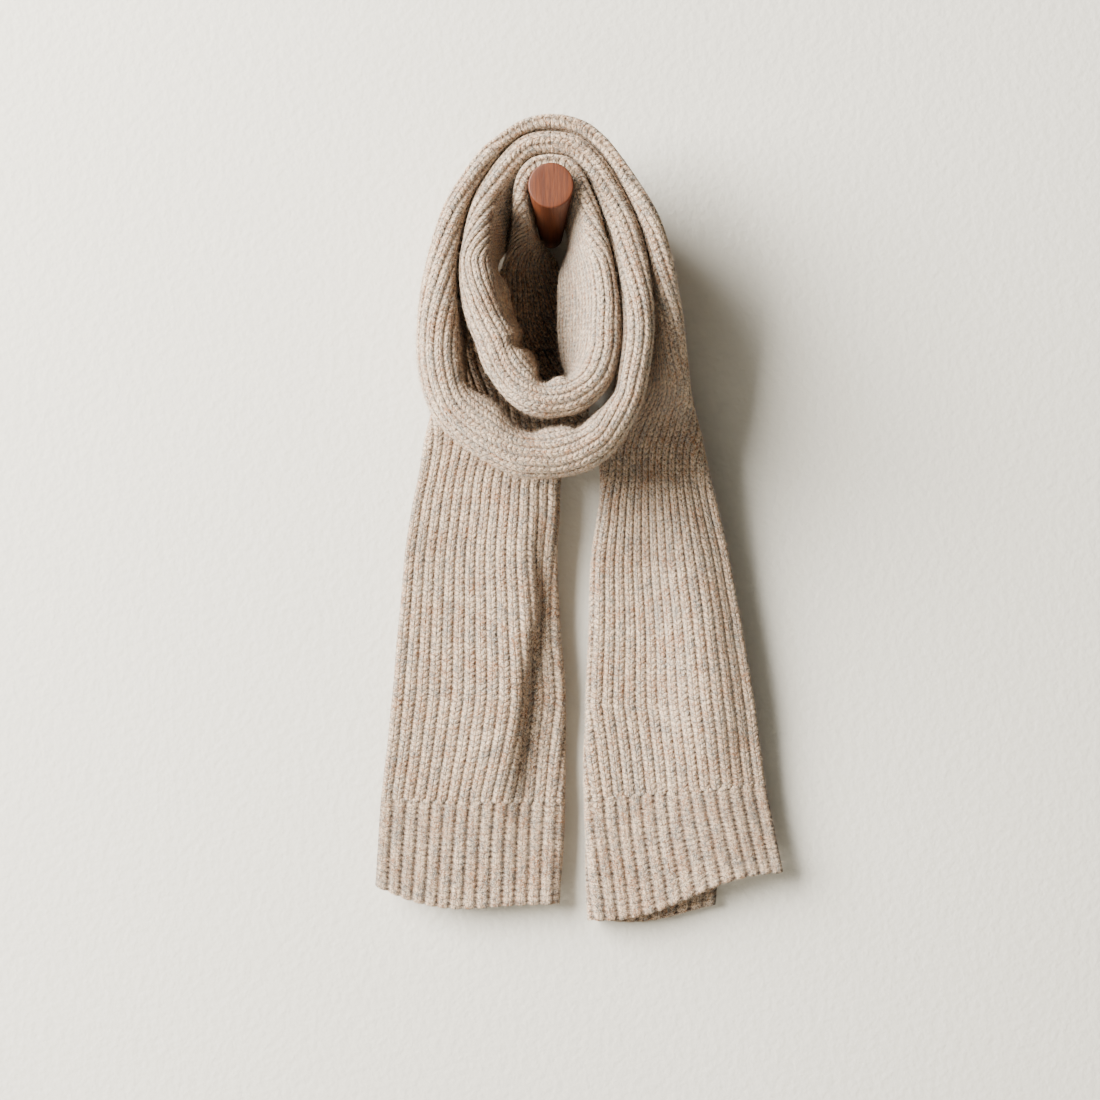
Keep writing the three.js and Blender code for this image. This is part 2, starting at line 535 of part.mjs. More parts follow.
const group = new THREE.Group();
group.name = 'knit_scarf_on_wall_peg';
const half = SEAM / 2;
group.add(makePeg());
group.add(stretchOfScarf('left_tail', LEFT_TAIL, BODY_RIBS, RIB_RISE, half, half));
group.add(stretchOfScarf('left_cuff', LEFT_CUFF, CUFF_RIBS, CUFF_RISE, half, 0));
group.add(stretchOfScarf('inner_loop', INNER_LOOP, BODY_RIBS, RIB_RISE, half, half));
group.add(stretchOfScarf('outer_loop', OUTER_LOOP, BODY_RIBS, RIB_RISE, half, half));
group.add(stretchOfScarf('right_tail', RIGHT_TAIL, BODY_RIBS, RIB_RISE, half, half));
group.add(stretchOfScarf('right_cuff', RIGHT_CUFF, CUFF_RIBS, CUFF_RISE, half, 0));

export default group;
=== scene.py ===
# %% [markdown]
# # A rib knit scarf wound over a wall peg
# The real object is one long knitted strip that goes twice round a short wooden peg, with both
# ends hanging free. This lesson dresses its plain solids: it builds the same folded strip as a
# thin knitted shell, raises the ribs, draws the stitches and the mixed yarn in materials, and
# covers the cloth with short loose fibres. Nothing here changes the size of the solids.

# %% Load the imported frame
import math

import bpy
import numpy as np
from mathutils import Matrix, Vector


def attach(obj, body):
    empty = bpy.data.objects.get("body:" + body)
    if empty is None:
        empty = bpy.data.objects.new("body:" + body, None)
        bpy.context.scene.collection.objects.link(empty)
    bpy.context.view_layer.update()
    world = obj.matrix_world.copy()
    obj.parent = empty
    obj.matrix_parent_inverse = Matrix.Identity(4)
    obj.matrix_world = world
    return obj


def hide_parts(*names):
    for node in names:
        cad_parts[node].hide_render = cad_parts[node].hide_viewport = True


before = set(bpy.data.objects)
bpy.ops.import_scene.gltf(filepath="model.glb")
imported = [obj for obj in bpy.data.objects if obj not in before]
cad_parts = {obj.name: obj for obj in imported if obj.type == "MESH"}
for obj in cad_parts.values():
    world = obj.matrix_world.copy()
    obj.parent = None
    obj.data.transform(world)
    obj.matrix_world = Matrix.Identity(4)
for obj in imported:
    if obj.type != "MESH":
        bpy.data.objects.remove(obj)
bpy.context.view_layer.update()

# %% [markdown]
# ## The view
# The scarf is seen straight on, from two metres in front of the wall and level with the middle
# of the picture. The places in the tables below are steps in that view, so the camera and the
# function that turns a step into a place share the same eye.

# %% The eye and its camera
STEP = 0.00072  # metres in one step of the view, two metres in front of the eye
FOCUS = 2.0
EYE_BACK = 2.05  # eye to wall
EYE_RIGHT = 551
EYE_DOWN = 550
EYE_UP = -0.231  # height of the eye above the middle of the peg's back
PICTURE_STEPS = 1100
SENSOR = 36


def seen(right, down, depth):
    scale = STEP * (EYE_BACK + depth) / FOCUS
    return (right - EYE_RIGHT) * scale, (EYE_DOWN - down) * scale + EYE_UP


def make_camera():
    data = bpy.data.cameras.new("front_camera")
    data.sensor_width = SENSOR
    data.lens = SENSOR * FOCUS / (PICTURE_STEPS * STEP)
    camera = bpy.data.objects.new("front_camera", data)
    middle = PICTURE_STEPS / 2 - EYE_RIGHT
    camera.location = (middle * STEP, -EYE_BACK, EYE_UP)
    camera.rotation_euler = (math.pi / 2, 0, 0)
    bpy.context.scene.collection.objects.link(camera)
    bpy.context.scene.camera = camera
    return camera


camera = make_camera()
print("lens", round(camera.data.lens, 2), "mm")

# %% [markdown]
# ## The folded strip
# A scarf on a peg is bunched into a roll where it goes over the peg, and opens into a flat fold
# lower down. Both are one shape: a flap, a turn, a front layer, a turn and a back layer. Each
# row of a table is one section of the strip, with its outer and inner edge in the view and its
# nearest and farthest depth. A simulation could hang the cloth, but it would not give these
# folds, so the main folds are given one by one and smooth curves join the rows.

# %% Sizes of the cloth
WALL = 0.0034  # inside face to the mean outer face
RIB_RISE = 0.0007  # crest of a rib above the mean outer face
GROOVE_DIP = 0.0004  # bottom of a groove below the mean outer face
CUFF_RISE = 0.0009  # the same crest on the hem bands
THICK = WALL + 2 * RIB_RISE
BODY_RIBS = 30
CUFF_RIBS = 26
FLAP = 0.022  # selvedge part that lies round the outside of a rolled strand
SELVEDGE_GAP = 0.0045
FOLD_EDGE = 0.075  # half width of a folded edge, in parts of the front layer
PLEAT_TAKES = 0.6  # part of its edge, times slope squared, that a sharp pleat takes up
WAVE_TAKES = 0.17  # part of the layer, times slope squared, that a soft wave takes up
EDGE_BEHIND = 0.006  # the seen edge of a strand lies this far behind its nearest point
CLOTH_WIDTH = 0.226  # the strip laid flat

# %% Rows of the six stretches
# outer, inner: right and down of the strand's two edges; front, back: depths in millimetres;
# gap: between the middles of the two layers, mm; open: 0 rolled, 1 flat; arc: most cloth, mm;
# drop: fall for each mm toward the wall; lag: how far the back layer's free selvedge hangs below
# its fold, mm; crease, at: slope and place of a lengthwise crease; sag: how far the middle hangs
# below its ends, mm; sway: how far the outer half hangs lower and the inner half higher, mm.
COLUMNS = ("outer_right", "outer_down", "inner_right", "inner_down", "front", "back", "gap",
           "open", "arc", "drop", "lag", "crease", "at", "sag", "sway")

LEFT_TAIL = [
    (551, 153, 551, 175, -107, -5, 4.6, 0, 226, 0.2, 0, 0, 0.95, 0, 0),
    (533, 157, 543, 176.6, -107, -5, 4.6, 0, 226, 0.2, 0, 0, 0.95, 0, 0),
    (520.5, 168.5, 538.5, 181, -107, -5, 4.6, 0, 226, 0.2, 0, 0, 0.95, 0, 0),
    (514.5, 184, 535.5, 190, -104, -6, 4.8, 0, 226, 0.2, 0, 0, 0.95, 0, 0),
    (512.5, 203, 538, 208.5, -94, -7, 7, 0, 226, 0.2, 0, 0, 0.95, 0, 0),
    (512, 222, 544, 227, -72, -8, 9, 0, 226, 0.16, 0, 0, 0.95, 0, 0),
    (507, 245, 555, 252, -45, -8, 11, 0, 226, 0.1, 0, 0, 0.95, 0, 0),
    (500, 269, 561, 271, -34, -8, 12.5, 0, 226, 0.05, 0, 0, 0.95, 0, 0),
    (486, 291, 564, 292, -33, -7, 12.5, 0, 226, 0.02, 0, 0, 0.95, 0, 0),
    (474, 311, 565, 311, -34, -6, 12.5, 0, 226, 0, 0, 0, 0.95, 0, 0),
    (459, 332, 567, 332, -32, -6, 12, 0.05, 226, 0, 0, 0, 0.95, 0, 0),
    (446, 368, 576, 368, -30, -6, 11.5, 0.2, 215, 0, 0, 0, 0.95, 0, 0),
    (434, 403, 590, 403, -29, -7, 11, 0.42, 212, 0, 0, 0, 0.95, 0, 0),
    (424, 438, 582, 438, -29, -9, 10, 0.7, 214, 0, 0, 0, 0.9, 0, 0),
    (418.5, 473, 563, 473, -31, -12, 9.5, 0.92, 218, 0, 0, 6, 0.9, 0, 0),
    (410.5, 515, 560, 515, -34, -17, 9.5, 1, 220, 0, 0, 22, 0.9, 0, 0),
    (404, 558, 558, 558, -36, -20, 9.5, 1, 222, 0, 0, 50, 0.89, 0, 0),
    (400, 608, 560, 608, -37, -21, 9.5, 1, 224, 0, 0, 78, 0.875, 0, 0),
    (393.5, 680, 566, 680, -37, -21, 9.5, 1, 226, 0, 0, 82, 0.785, 0, 0),
    (388, 742, 566.5, 742, -33, -18, 9.5, 1, 226, 0, 0, 70, 0.765, 0, 0),
    (381.5, 798, 565.5, 804, -26, -11, 9.5, 1, 226, 0, 0, 26, 0.76, 0, 0),
]

LEFT_CUFF = [
    (381.5, 798, 565.5, 804, -26, -11, 9.5, 1, 226, 0, 0, 26, 0.76, 0, 0),
    (379.5, 826, 564, 836, -23.5, -9, 9.5, 1, 226, 0, 0, 14, 0.76, 3, 1),
    (377.5, 858, 562, 872, -21.5, -7, 9.5, 1, 228, 0, 0, 5, 0.76, 6.5, 2),
    (375.5, 885, 560, 903, -21, -7, 9.5, 1, 230, 0, 0, 0, 0.72, 9.4, 2.4),
]

INNER_LOOP = [
    (551, 153, 551, 175, -107, -5, 4.6, 0, 226, 0.2, 0, 0, 0.5, 0, 0),
    (569, 157, 559, 176.6, -107, -5, 4.6, 0, 226, 0.2, 0, 0, 0.5, 0, 0),
    (582, 169.5, 564, 182.5, -107, -5, 4.8, 0, 226, 0.2, 0, 0, 0.5, 0, 0),
    (592, 189, 568, 199, -107, -6, 7.6, 0, 226, 0.2, 0, 0, 0.5, 0, 0),
    (600, 208, 566, 214, -108, -8, 9.4, 0, 226, 0.2, 0, 0, 0.5, 0, 0),
    (607, 232, 561.5, 236, -110, -22, 11, 0, 226, 0.17, 0, 0, 0.5, 0, 0),
    (614, 258, 558, 261, -112, -38, 13, 0, 226, 0.12, 0, 0, 0.5, 0, 0),
    (619.5, 292, 557.5, 293, -115, -42, 15, 0, 226, 0.06, 0, 0, 0.5, 0, 0),
    (622, 322, 557.5, 319, -118, -40, 17, 0, 226, 0, 0, 0, 0.5, 0, 0),
    (621, 350, 559, 341, -120, -41, 18, 0, 226, 0, 0, 0, 0.5, 0, 0),
    (613, 378, 562, 357, -122, -41, 20, 0, 226, 0, 0, 0, 0.5, 0, 0),
    (600, 397, 565, 366, -123, -41, 20, 0, 226, 0, 0, 0, 0.5, 0, 0),
    (581, 411, 565, 372, -124, -41, 21, 0, 226, 0, 0, 0, 0.5, 0, 0),
    (563, 416, 558, 372, -124, -41, 24, 0, 226, 0, 0, 0, 0.5, 0, 0),
    (545, 417, 546, 379, -124, -41, 20, 0, 226, 0, 0, 0, 0.5, 0, 0),
    (525, 412, 539, 376, -124, -41, 20, 0, 226, 0, 0, 0, 0.5, 0, 0),
    (507, 400, 537, 360, -123, -41, 25, 0, 226, 0, 0, 0, 0.5, 0, 0),
    (493, 383, 530, 345, -122, -41, 26, 0, 226, 0, 0, 0, 0.5, 0, 0),
    (482, 364, 519, 338, -121, -40, 21, 0, 226, 0, 0, 0, 0.5, 0, 0),
    (475, 342, 521.5, 325, -119, -40, 23, 0, 226, 0, 0, 0, 0.5, 0, 0),
    (467, 322, 514, 311, -117, -40, 22, 0, 226, 0, 0, 0, 0.5, 0, 0),
    (461, 298, 511, 294, -116, -43, 21, 0, 226, 0.04, 0, 0, 0.5, 0, 0),
    (458.5, 274, 507.5, 274, -114, -48, 20, 0, 226, 0.08, 0, 0, 0.5, 0, 0),
    (460, 250, 497, 252, -112, -48, 16, 0, 226, 0.13, 0, 0, 0.5, 0, 0),
    (471, 201, 505, 215.5, -108, -17, 13, 0, 226, 0.2, 0, 0, 0.5, 0, 0),
    (485, 175, 513.5, 193, -107, -8, 12, 0, 226, 0.2, 0, 0, 0.5, 0, 0),
    (501, 153, 525, 174, -107, -6, 11.2, 0, 226, 0.2, 0, 0, 0.5, 0, 0),
    (518, 137, 535.7, 163.4, -107, -6, 11.2, 0, 226, 0.2, 0, 0, 0.5, 0, 0),
    (534.5, 130.5, 542, 161, -107, -6, 11.2, 0, 226, 0.2, 0, 0, 0.5, 0, 0),
    (551, 129, 551, 160.4, -107, -6, 11.2, 0, 226, 0.2, 0, 0, 0.5, 0, 0),
]

OUTER_LOOP = [
    (551, 129, 551, 160.4, -107, -6, 11.2, 0, 226, 0.2, 0, 0, 0.5, 0, 0),
    (566, 130.5, 560, 161.4, -107, -6, 11.2, 0, 226, 0.2, 0, 0, 0.5, 0, 0),
    (580, 134.5, 566.6, 161.8, -107, -6, 11.3, 0, 226, 0.2, 0, 0, 0.5, 0, 0),
    (593, 144, 571.2, 167.2, -107, -6, 12.3, 0, 226, 0.2, 0, 0, 0.5, 0, 0),
    (608, 161, 582.2, 180, -107, -6, 12.5, 0, 226, 0.2, 0, 0, 0.5, 0, 0),
    (624, 187, 591, 204.7, -107, -7, 15.2, 0, 226, 0.2, 0, 0, 0.5, 0, 0),
    (637, 215, 599, 229.7, -108, -10, 17.4, 0, 226, 0.2, 0, 0, 0.5, 0, 0),
    (646, 244, 606, 254, -110, -14, 18, 0, 226, 0.16, 0, 0, 0.5, 0, 0),
    (651.5, 273, 609.5, 280, -112, -22, 18, 0, 226, 0.1, 0, 0, 0.5, 0, 0),
    (654.5, 305, 613, 306, -115, -32, 18, 0, 226, 0.04, 0, 0, 0.5, 0, 0),
    (654, 342, 614, 337, -118, -38, 18, 0, 226, 0, 0, 0, 0.5, 0, 0),
    (645, 396, 616, 383, -122, -41, 17, 0, 226, 0, 0, 0, 0.5, 0, 0),
    (632, 427, 602.5, 403, -123, -41, 20, 0, 226, 0, 0, 0, 0.5, 0, 0),
    (613, 454, 591, 412, -124, -41, 26, 0, 226, 0, 0, 0, 0.5, 0, 0),
    (595, 467, 577, 425, -124, -41, 25, 0, 226, 0, 0, 0, 0.5, 0, 0),
    (577, 474, 564, 422, -124, -41, 30, 0, 226, 0, 0, 0, 0.5, 0, 0),
    (557, 478, 547.5, 422, -124, -41, 31, 0, 226, 0, 0, 0, 0.5, 0, 0),
    (539, 478.5, 534, 429, -124, -41, 28, 0, 226, 0, 0, 0, 0.5, 0, 0),
    (521, 477, 520, 426, -124, -41, 29, 0, 226, 0, 0, 0, 0.5, 0, 0),
    (503, 470.5, 509, 415, -124, -41, 31, 0, 226, 0, 0, 0, 0.5, 0, 0),
    (483, 459.5, 499, 402, -124, -41, 33, 0, 226, 0, 0, 0, 0.5, 0, 0),
    (462, 446, 487, 391, -123, -41, 33, 0, 226, 0, 0, 0, 0.5, 0, 0),
    (441, 428, 471, 384, -122, -41, 30, 0, 226, 0, 0, 0, 0.5, 0, 0),
    (427, 407, 466, 377, -121, -40, 27, 0, 226, 0, 0, 0, 0.5, 0, 0),
    (419, 382, 464.5, 363, -120, -39, 27, 0, 226, 0, 0, 0, 0.5, 0, 0),
    (415.5, 351, 464, 345, -118, -37, 26, 0, 226, 0, 0, 0, 0.5, 0, 0),
    (417.5, 312, 465, 314, -116, -32, 23.5, 0, 226, 0.04, 0, 0, 0.5, 0, 0),
    (425, 262, 464.5, 271, -112, -20, 17.4, 0, 226, 0.12, 0, 0, 0.5, 0, 0),
    (439, 213, 470.3, 227, -108, -9, 13, 0, 226, 0.2, 0, 0, 0.5, 0, 0),
    (457, 179, 482, 194.5, -107, -7, 9.6, 0, 226, 0.2, 0, 0, 0.5, 0, 0),
    (478, 150, 498, 168, -107, -6, 8, 0, 226, 0.2, 0, 0, 0.5, 0, 0),
    (497, 135, 510, 153.5, -107, -6, 5, 0, 226, 0.2, 0, 0, 0.5, 0, 0),
    (516.6, 122.3, 526.2, 141.3, -107, -6, 4.2, 0, 226, 0.2, 0, 0, 0.5, 0, 0),
    (534, 115.6, 540.4, 137, -107, -6, 4.8, 0, 226, 0.2, 0, 0, 0.5, 0, 0),
    (551, 113, 551, 136, -107, -6, 5.4, 0, 226, 0.2, 0, 0, 0.5, 0, 0),
]

RIGHT_TAIL = [
    (551, 113, 551, 136, -107, -6, 5.4, 0, 226, 0.2, 0, 0, 0.3, 0, 0),
    (569, 115.3, 563, 136.4, -107, -6, 4.6, 0, 226, 0.2, 0, 0, 0.3, 0, 0),
    (588, 122.4, 576, 139.8, -107, -6, 4.1, 0, 226, 0.2, 0, 0, 0.3, 0, 0),
    (601, 132, 587.3, 146.9, -107, -6, 4.1, 0, 226, 0.2, 0, 0, 0.3, 0, 0),
    (613.7, 145.3, 598.2, 157.6, -107, -6, 4.1, 0, 226, 0.2, 0, 0, 0.3, 0, 0),
    (634.7, 173.9, 617, 186, -107, -7, 5.4, 0, 226, 0.2, 0, 0, 0.3, 0, 0),
    (653, 202, 629, 215.4, -107, -10, 8.2, 0, 226, 0.2, 0, 0, 0.3, 0, 0),
    (666, 231, 637.5, 241, -106, -12, 10.2, 0, 226, 0.16, 0, 0, 0.3, 0, 0),
    (675.5, 268, 644.5, 274.5, -103, -14, 11.6, 0, 226, 0.1, 0, 0, 0.3, 0, 0),
    (683, 312, 648, 315, -94, -14, 12.6, 0, 226, 0.04, 0, 0, 0.3, 0, 0),
    (687, 351, 643, 352, -80, -12, 12.6, 0.06, 226, 0, 0, 0, 0.3, 0, 0),
    (691, 386, 626, 387, -62, -9, 12.4, 0.14, 220, 0, 0, 0, 0.3, 0, 0),
    (697, 416, 604, 416, -48, -7, 12, 0.27, 212, 0, 0, 4, 0.3, 0, 0),
    (704, 443, 598, 443, -44, -8, 11.5, 0.44, 208, 0, 0, 9, 0.3, 0, 0),
    (711.5, 478, 600, 478, -40, -12, 11, 0.66, 210, 0, 0, 16, 0.3, 0, 0),
    (720.5, 517, 597, 517, -38, -17, 10, 0.86, 214, 0, 0, 23, 0.3, 0, 0),
    (730, 560, 591, 560, -38, -22, 10, 0.97, 220, 0, 0, 30, 0.3, 0, 0),
    (743, 628, 588, 628, -38, -22, 10, 1, 224, 0, 0, 32, 0.3, 0, 0),
    (755.5, 702, 585, 702, -35, -19, 10, 1, 226, 0, 0, 28, 0.3, 0, 0),
    (762, 750, 583.5, 756, -30, -14, 10, 1, 226, 0, 0, 20, 0.3, 0, 0),
    (766, 784, 583, 800, -26, -10, 10, 1, 226, 0, 1, 13, 0.3, 0, 0),
]

RIGHT_CUFF = [
    (766, 784, 583, 800, -26, -10, 10, 1, 226, 0, 1, 13, 0.3, 0, 0),
    (771, 812, 584, 838, -24.5, -9, 10.5, 1, 228, 0, 5, 10, 0.3, 0.7, -1.8),
    (777, 842, 585.5, 880, -24, -8, 11, 1, 230, 0, 10.5, 8, 0.3, 1.4, -3.6),
    (783, 871, 587.5, 920, -24, -8, 11.5, 1, 232, 0, 16, 6, 0.3, 2.1, -5.3),
]

print("rows", {"left_tail": len(LEFT_TAIL), "inner_loop": len(INNER_LOOP),
               "outer_loop": len(OUTER_LOOP), "right_tail": len(RIGHT_TAIL)})

# %% Smooth rows between the given ones
ROW_SPACING = 0.0024  # metres along the strip
MILLIMETRES = 0.001


def mix_four(a, b, c, d, t):
    early = b + (c - a) * t / 2
    return early + ((2 * a - 5 * b + 4 * c - d) * t ** 2 + (3 * b - a - 3 * c + d) * t ** 3) / 2


def fine_rows(table):
    given = np.array(table, float)
    rows = []
    for i in range(len(given) - 1):
        before = given[max(i - 1, 0)]
        here, after = given[i], given[i + 1]
        later = given[min(i + 2, len(given) - 1)]
        far = max(math.dist(here[0:2], after[0:2]), math.dist(here[2:4], after[2:4])) * STEP
        steps = max(1, round(far / ROW_SPACING))
        for k in range(steps):
            rows.append(mix_four(before, here, after, later, k / steps))
    rows.append(given[-1])
    return [dict(zip(COLUMNS, row)) for row in rows]


print("rows in the outer loop", len(fine_rows(OUTER_LOOP)))

# %% The path of the cloth across one section
PATH_STEPS = 420


def bell(x):
    return np.exp(-x * x)


def section_lengths(row, width):
    gap = row["gap"] * MILLIMETRES
    across = max(width - gap - THICK, MILLIMETRES)
    deep = max((row["back"] - row["front"]) * MILLIMETRES - gap - THICK, 0)
    opening = min(max(row["open"], 0), 1)
    flap = FLAP * (1 - opening) ** 2
    front_turn = math.pi / 2 * gap * (1 - opening)
    back_turn = math.pi / 2 * gap
    run = math.hypot(across, deep)
    left = row["arc"] * MILLIMETRES - flap - front_turn - run - back_turn
    share_taken = PLEAT_TAKES * FOLD_EDGE if row["at"] > 0.5 else WAVE_TAKES
    taken_up = run * math.radians(row["crease"]) ** 2 * share_taken
    rest = min(run - flap - SELVEDGE_GAP - taken_up, left)
    lengths = (flap, front_turn, run, back_turn, rest)
    return opening, lengths, math.atan2(across, deep)


def crease_slope(row, share):
    # past the middle it is a gentle swell and then a sharp edge, before the middle a soft wave
    crease, place = row["crease"], row["at"]
    if place > 0.5:
        swell = 0.1 * crease * bell((share - place + 0.3) / 0.2)
        return swell - crease * bell((share - place) / FOLD_EDGE)
    rise = crease * bell((share - place + 0.16) / 0.12)
    return rise - crease * bell((share - place - 0.2) / 0.16)


def heading(row, opening, lengths, s):
    flap, front_turn, run, back_turn, rest = lengths
    start = math.pi * (1 - opening)
    a = s - flap
    b = a - front_turn
    c = b - run
    turn = np.full_like(s, start)
    if front_turn > 0:
        turn = np.where(a >= 0, start * (1 - a / front_turn), turn)
    turn = np.where(b >= 0, np.radians(crease_slope(row, b / run)), turn)
    turn = np.where(c >= 0, -math.pi * c / back_turn, turn)
    return np.where(c >= back_turn, -math.pi, turn)


# %% One section of the shell in space
RIB_COLUMNS = 6  # outer points for each rib
PLAIN_COLUMNS = 2  # inner points for each rib


def shell_section(row, ribs, rise):
    depth = row["front"] * MILLIMETRES
    eye_depth = depth + EDGE_BEHIND
    outer = np.array(seen(row["outer_right"], row["outer_down"], eye_depth))
    inner = np.array(seen(row["inner_right"], row["inner_down"], eye_depth))
    width = float(np.hypot(*(inner - outer)))
    side = (inner - outer) / width
    opening, lengths, tilt = section_lengths(row, width)
    total = sum(lengths)
    step = total / PATH_STEPS
    s = np.arange(PATH_STEPS + 1) * step
    turn = heading(row, opening, lengths, s)
    middle = heading(row, opening, lengths, s[:-1] + step / 2)
    along = np.concatenate([[0], np.cumsum(np.cos(middle))]) * step
    out = np.concatenate([[0], np.cumsum(np.sin(middle))]) * step

    def at(places, offset):
        bend = np.interp(places, s, turn)
        x = np.interp(places, s, along) - np.sin(bend) * offset
        y = np.interp(places, s, out) + np.cos(bend) * offset
        return np.stack([x * math.sin(tilt) + y * math.cos(tilt),
                         x * math.cos(tilt) - y * math.sin(tilt)], 1)

    outside = np.linspace(0, total, ribs * RIB_COLUMNS + 1)
    inside = np.linspace(0, total, ribs * PLAIN_COLUMNS + 1)
    crests = at(outside, WALL / 2 + rise)
    face = at(outside, WALL / 2 - GROOVE_DIP)
    plain = at(inside, -WALL / 2)
    reach = np.concatenate([crests, face, plain])
    least, nearest = reach.min(0)
    stretch = width / (reach[:, 0].max() - least)

    def place(points, places):
        b = (points[:, 0] - least) * stretch
        d = points[:, 1] - nearest
        half = math.pi * np.minimum(b / width, 1)
        hang = (row["sag"] * np.sin(half) + row["sway"] * np.sin(2 * half)) * MILLIMETRES
        lag = row["lag"] * MILLIMETRES * np.maximum(places - total + lengths[-1], 0) / lengths[-1]
        return np.stack([outer[0] + b * side[0] + hang * side[1],
                         depth + d,
                         outer[1] + b * side[1] - hang * abs(side[0]) - row["drop"] * d - lag], 1)

    return place(face, outside), place(plain, inside), total


first_parts = shell_section(fine_rows(LEFT_TAIL)[0], BODY_RIBS, RIB_RISE)[:2]
print("first section", [part.shape for part in first_parts])

# %% [markdown]
# ## From sections to a closed shell
# Each stretch is a wall of even thickness with a plain inside and a plain outside. The wall
# keeps two numbers at every point, its place in ribs across the cloth and in stitches along it,
# because the ribs, the stitches and the yarn all have to follow the cloth round its folds.

# %% Join the sections
STITCH = 0.0042  # metres along a rib
SAMPLED_FACES = 7  # every seventh face is enough to tell which side is out


def shell_arrays(table, ribs, rise):
    rows = fine_rows(table)
    parts = [shell_section(row, ribs, rise) for row in rows]
    face = np.array([part[0] for part in parts])
    plain = np.array([part[1] for part in parts])
    steps = np.linalg.norm(np.diff(face, axis=0), axis=2).mean(1)
    length = np.concatenate([[0], np.cumsum(steps)])
    points = np.concatenate([face, plain[:, ::-1]], 1)
    across = np.concatenate([np.linspace(0, ribs, face.shape[1]),
                             np.linspace(ribs, 0, plain.shape[1])])
    outward = np.concatenate([np.ones(face.shape[1]), np.zeros(plain.shape[1])])
    knit = np.zeros(points.shape)
    knit[:, :, 0] = across[None, :]
    knit[:, :, 1] = (length / STITCH)[:, None]
    knit[:, :, 2] = outward[None, :]
    return points, knit, length[-1], face.shape[1]


def shell_faces(row_count, size, face_size):
    faces = []
    for i in range(row_count - 1):
        here, after = i * size, (i + 1) * size
        for k in range(size):
            n = (k + 1) % size
            faces.append((here + k, here + n, after + n, after + k))
    ratio = RIB_COLUMNS // PLAIN_COLUMNS
    caps = []
    for base, turned in ((0, True), ((row_count - 1) * size, False)):
        for k in range(size - face_size - 1):
            outer = [base + k * ratio + j for j in range(ratio + 1)]
            inner = [base + size - 2 - k, base + size - 1 - k]
            ring = outer + inner
            caps.append(tuple(ring[::-1]) if turned else tuple(ring))
    return faces, caps


def signed_volume(points, faces):
    total = 0.0
    for face in faces:
        a = points[face[0]]
        for k in range(1, len(face) - 1):
            total += float(np.dot(a, np.cross(points[face[k]], points[face[k + 1]])))
    return total


def make_shell(name, table, ribs, rise):
    points, knit, length, face_size = shell_arrays(table, ribs, rise)
    row_count, size = points.shape[:2]
    flat = points.reshape(-1, 3)
    faces, caps = shell_faces(row_count, size, face_size)
    centred = flat - flat.mean(0)
    if signed_volume(centred, faces[::SAMPLED_FACES]) < 0:
        faces = [face[::-1] for face in faces]
        caps = [cap[::-1] for cap in caps]
    mesh = bpy.data.meshes.new(name)
    mesh.from_pydata(flat.tolist(), [], faces + caps)
    mesh.polygons.foreach_set("use_smooth", [True] * len(faces) + [False] * len(caps))
    attribute = mesh.attributes.new("knit", "FLOAT_VECTOR", "POINT")
    attribute.data.foreach_set("vector", knit.reshape(-1))
    shell = bpy.data.objects.new(name, mesh)
    bpy.context.scene.collection.objects.link(shell)
    print(name, "rows", row_count, "length", round(length, 4), "stitches", round(length / STITCH))
    return shell, length


# %% Build the six plain shells
shells = {}
cut_length = {}
for name, table, ribs, rise in (
        ("left_tail", LEFT_TAIL, BODY_RIBS, RIB_RISE),
        ("left_cuff", LEFT_CUFF, CUFF_RIBS, CUFF_RISE),
        ("inner_loop", INNER_LOOP, BODY_RIBS, RIB_RISE),
        ("outer_loop", OUTER_LOOP, BODY_RIBS, RIB_RISE),
        ("right_tail", RIGHT_TAIL, BODY_RIBS, RIB_RISE),
        ("right_cuff", RIGHT_CUFF, CUFF_RIBS, CUFF_RISE)):
    shells[name], cut_length[name] = make_shell("knit_" + name, table, ribs, rise)
print("cloth in all", round(sum(cut_length.values()), 3), "m long")

# %% [markdown]
# ## Raised ribs
# Rib knit is a row of rounded ridges with narrow grooves. They follow the cloth everywhere, so
# a Geometry Nodes tree lifts the outer face along its normals by a rounded profile that is read
# from the rib number. The same tree gives the cloth a slight looseness, the same on both faces.

# %% Small helpers for node trees
def link_nodes(tree, source, target):
    tree.links.new(source, target)


def fill(tree, value, socket):
    if hasattr(value, "links"):
        link_nodes(tree, value, socket)
    else:
        socket.default_value = value


def maths(tree, operation, *values, clamp=False):
    node = tree.nodes.new("ShaderNodeMath")
    node.operation = operation
    node.use_clamp = clamp
    for socket, value in zip(node.inputs, values):
        fill(tree, value, socket)
    return node.outputs[0]


def vector_maths(tree, operation, vector, other):
    node = tree.nodes.new("ShaderNodeVectorMath")
    node.operation = operation
    fill(tree, vector, node.inputs[0])
    fill(tree, other, node.inputs["Scale"] if operation == "SCALE" else node.inputs[1])
    return node.outputs[0]


def input_identifier(tree, name):
    for item in tree.interface.items_tree:
        if item.item_type == "SOCKET" and item.in_out == "INPUT" and item.name == name:
            return item.identifier
    raise ValueError(name)


# %% What both geometry trees share
def knit_numbers(tree):
    knit = tree.nodes.new("GeometryNodeInputNamedAttribute")
    knit.data_type = "FLOAT_VECTOR"
    knit.inputs["Name"].default_value = "knit"
    split = tree.nodes.new("ShaderNodeSeparateXYZ")
    link_nodes(tree, knit.outputs["Attribute"], split.inputs[0])
    return split.outputs


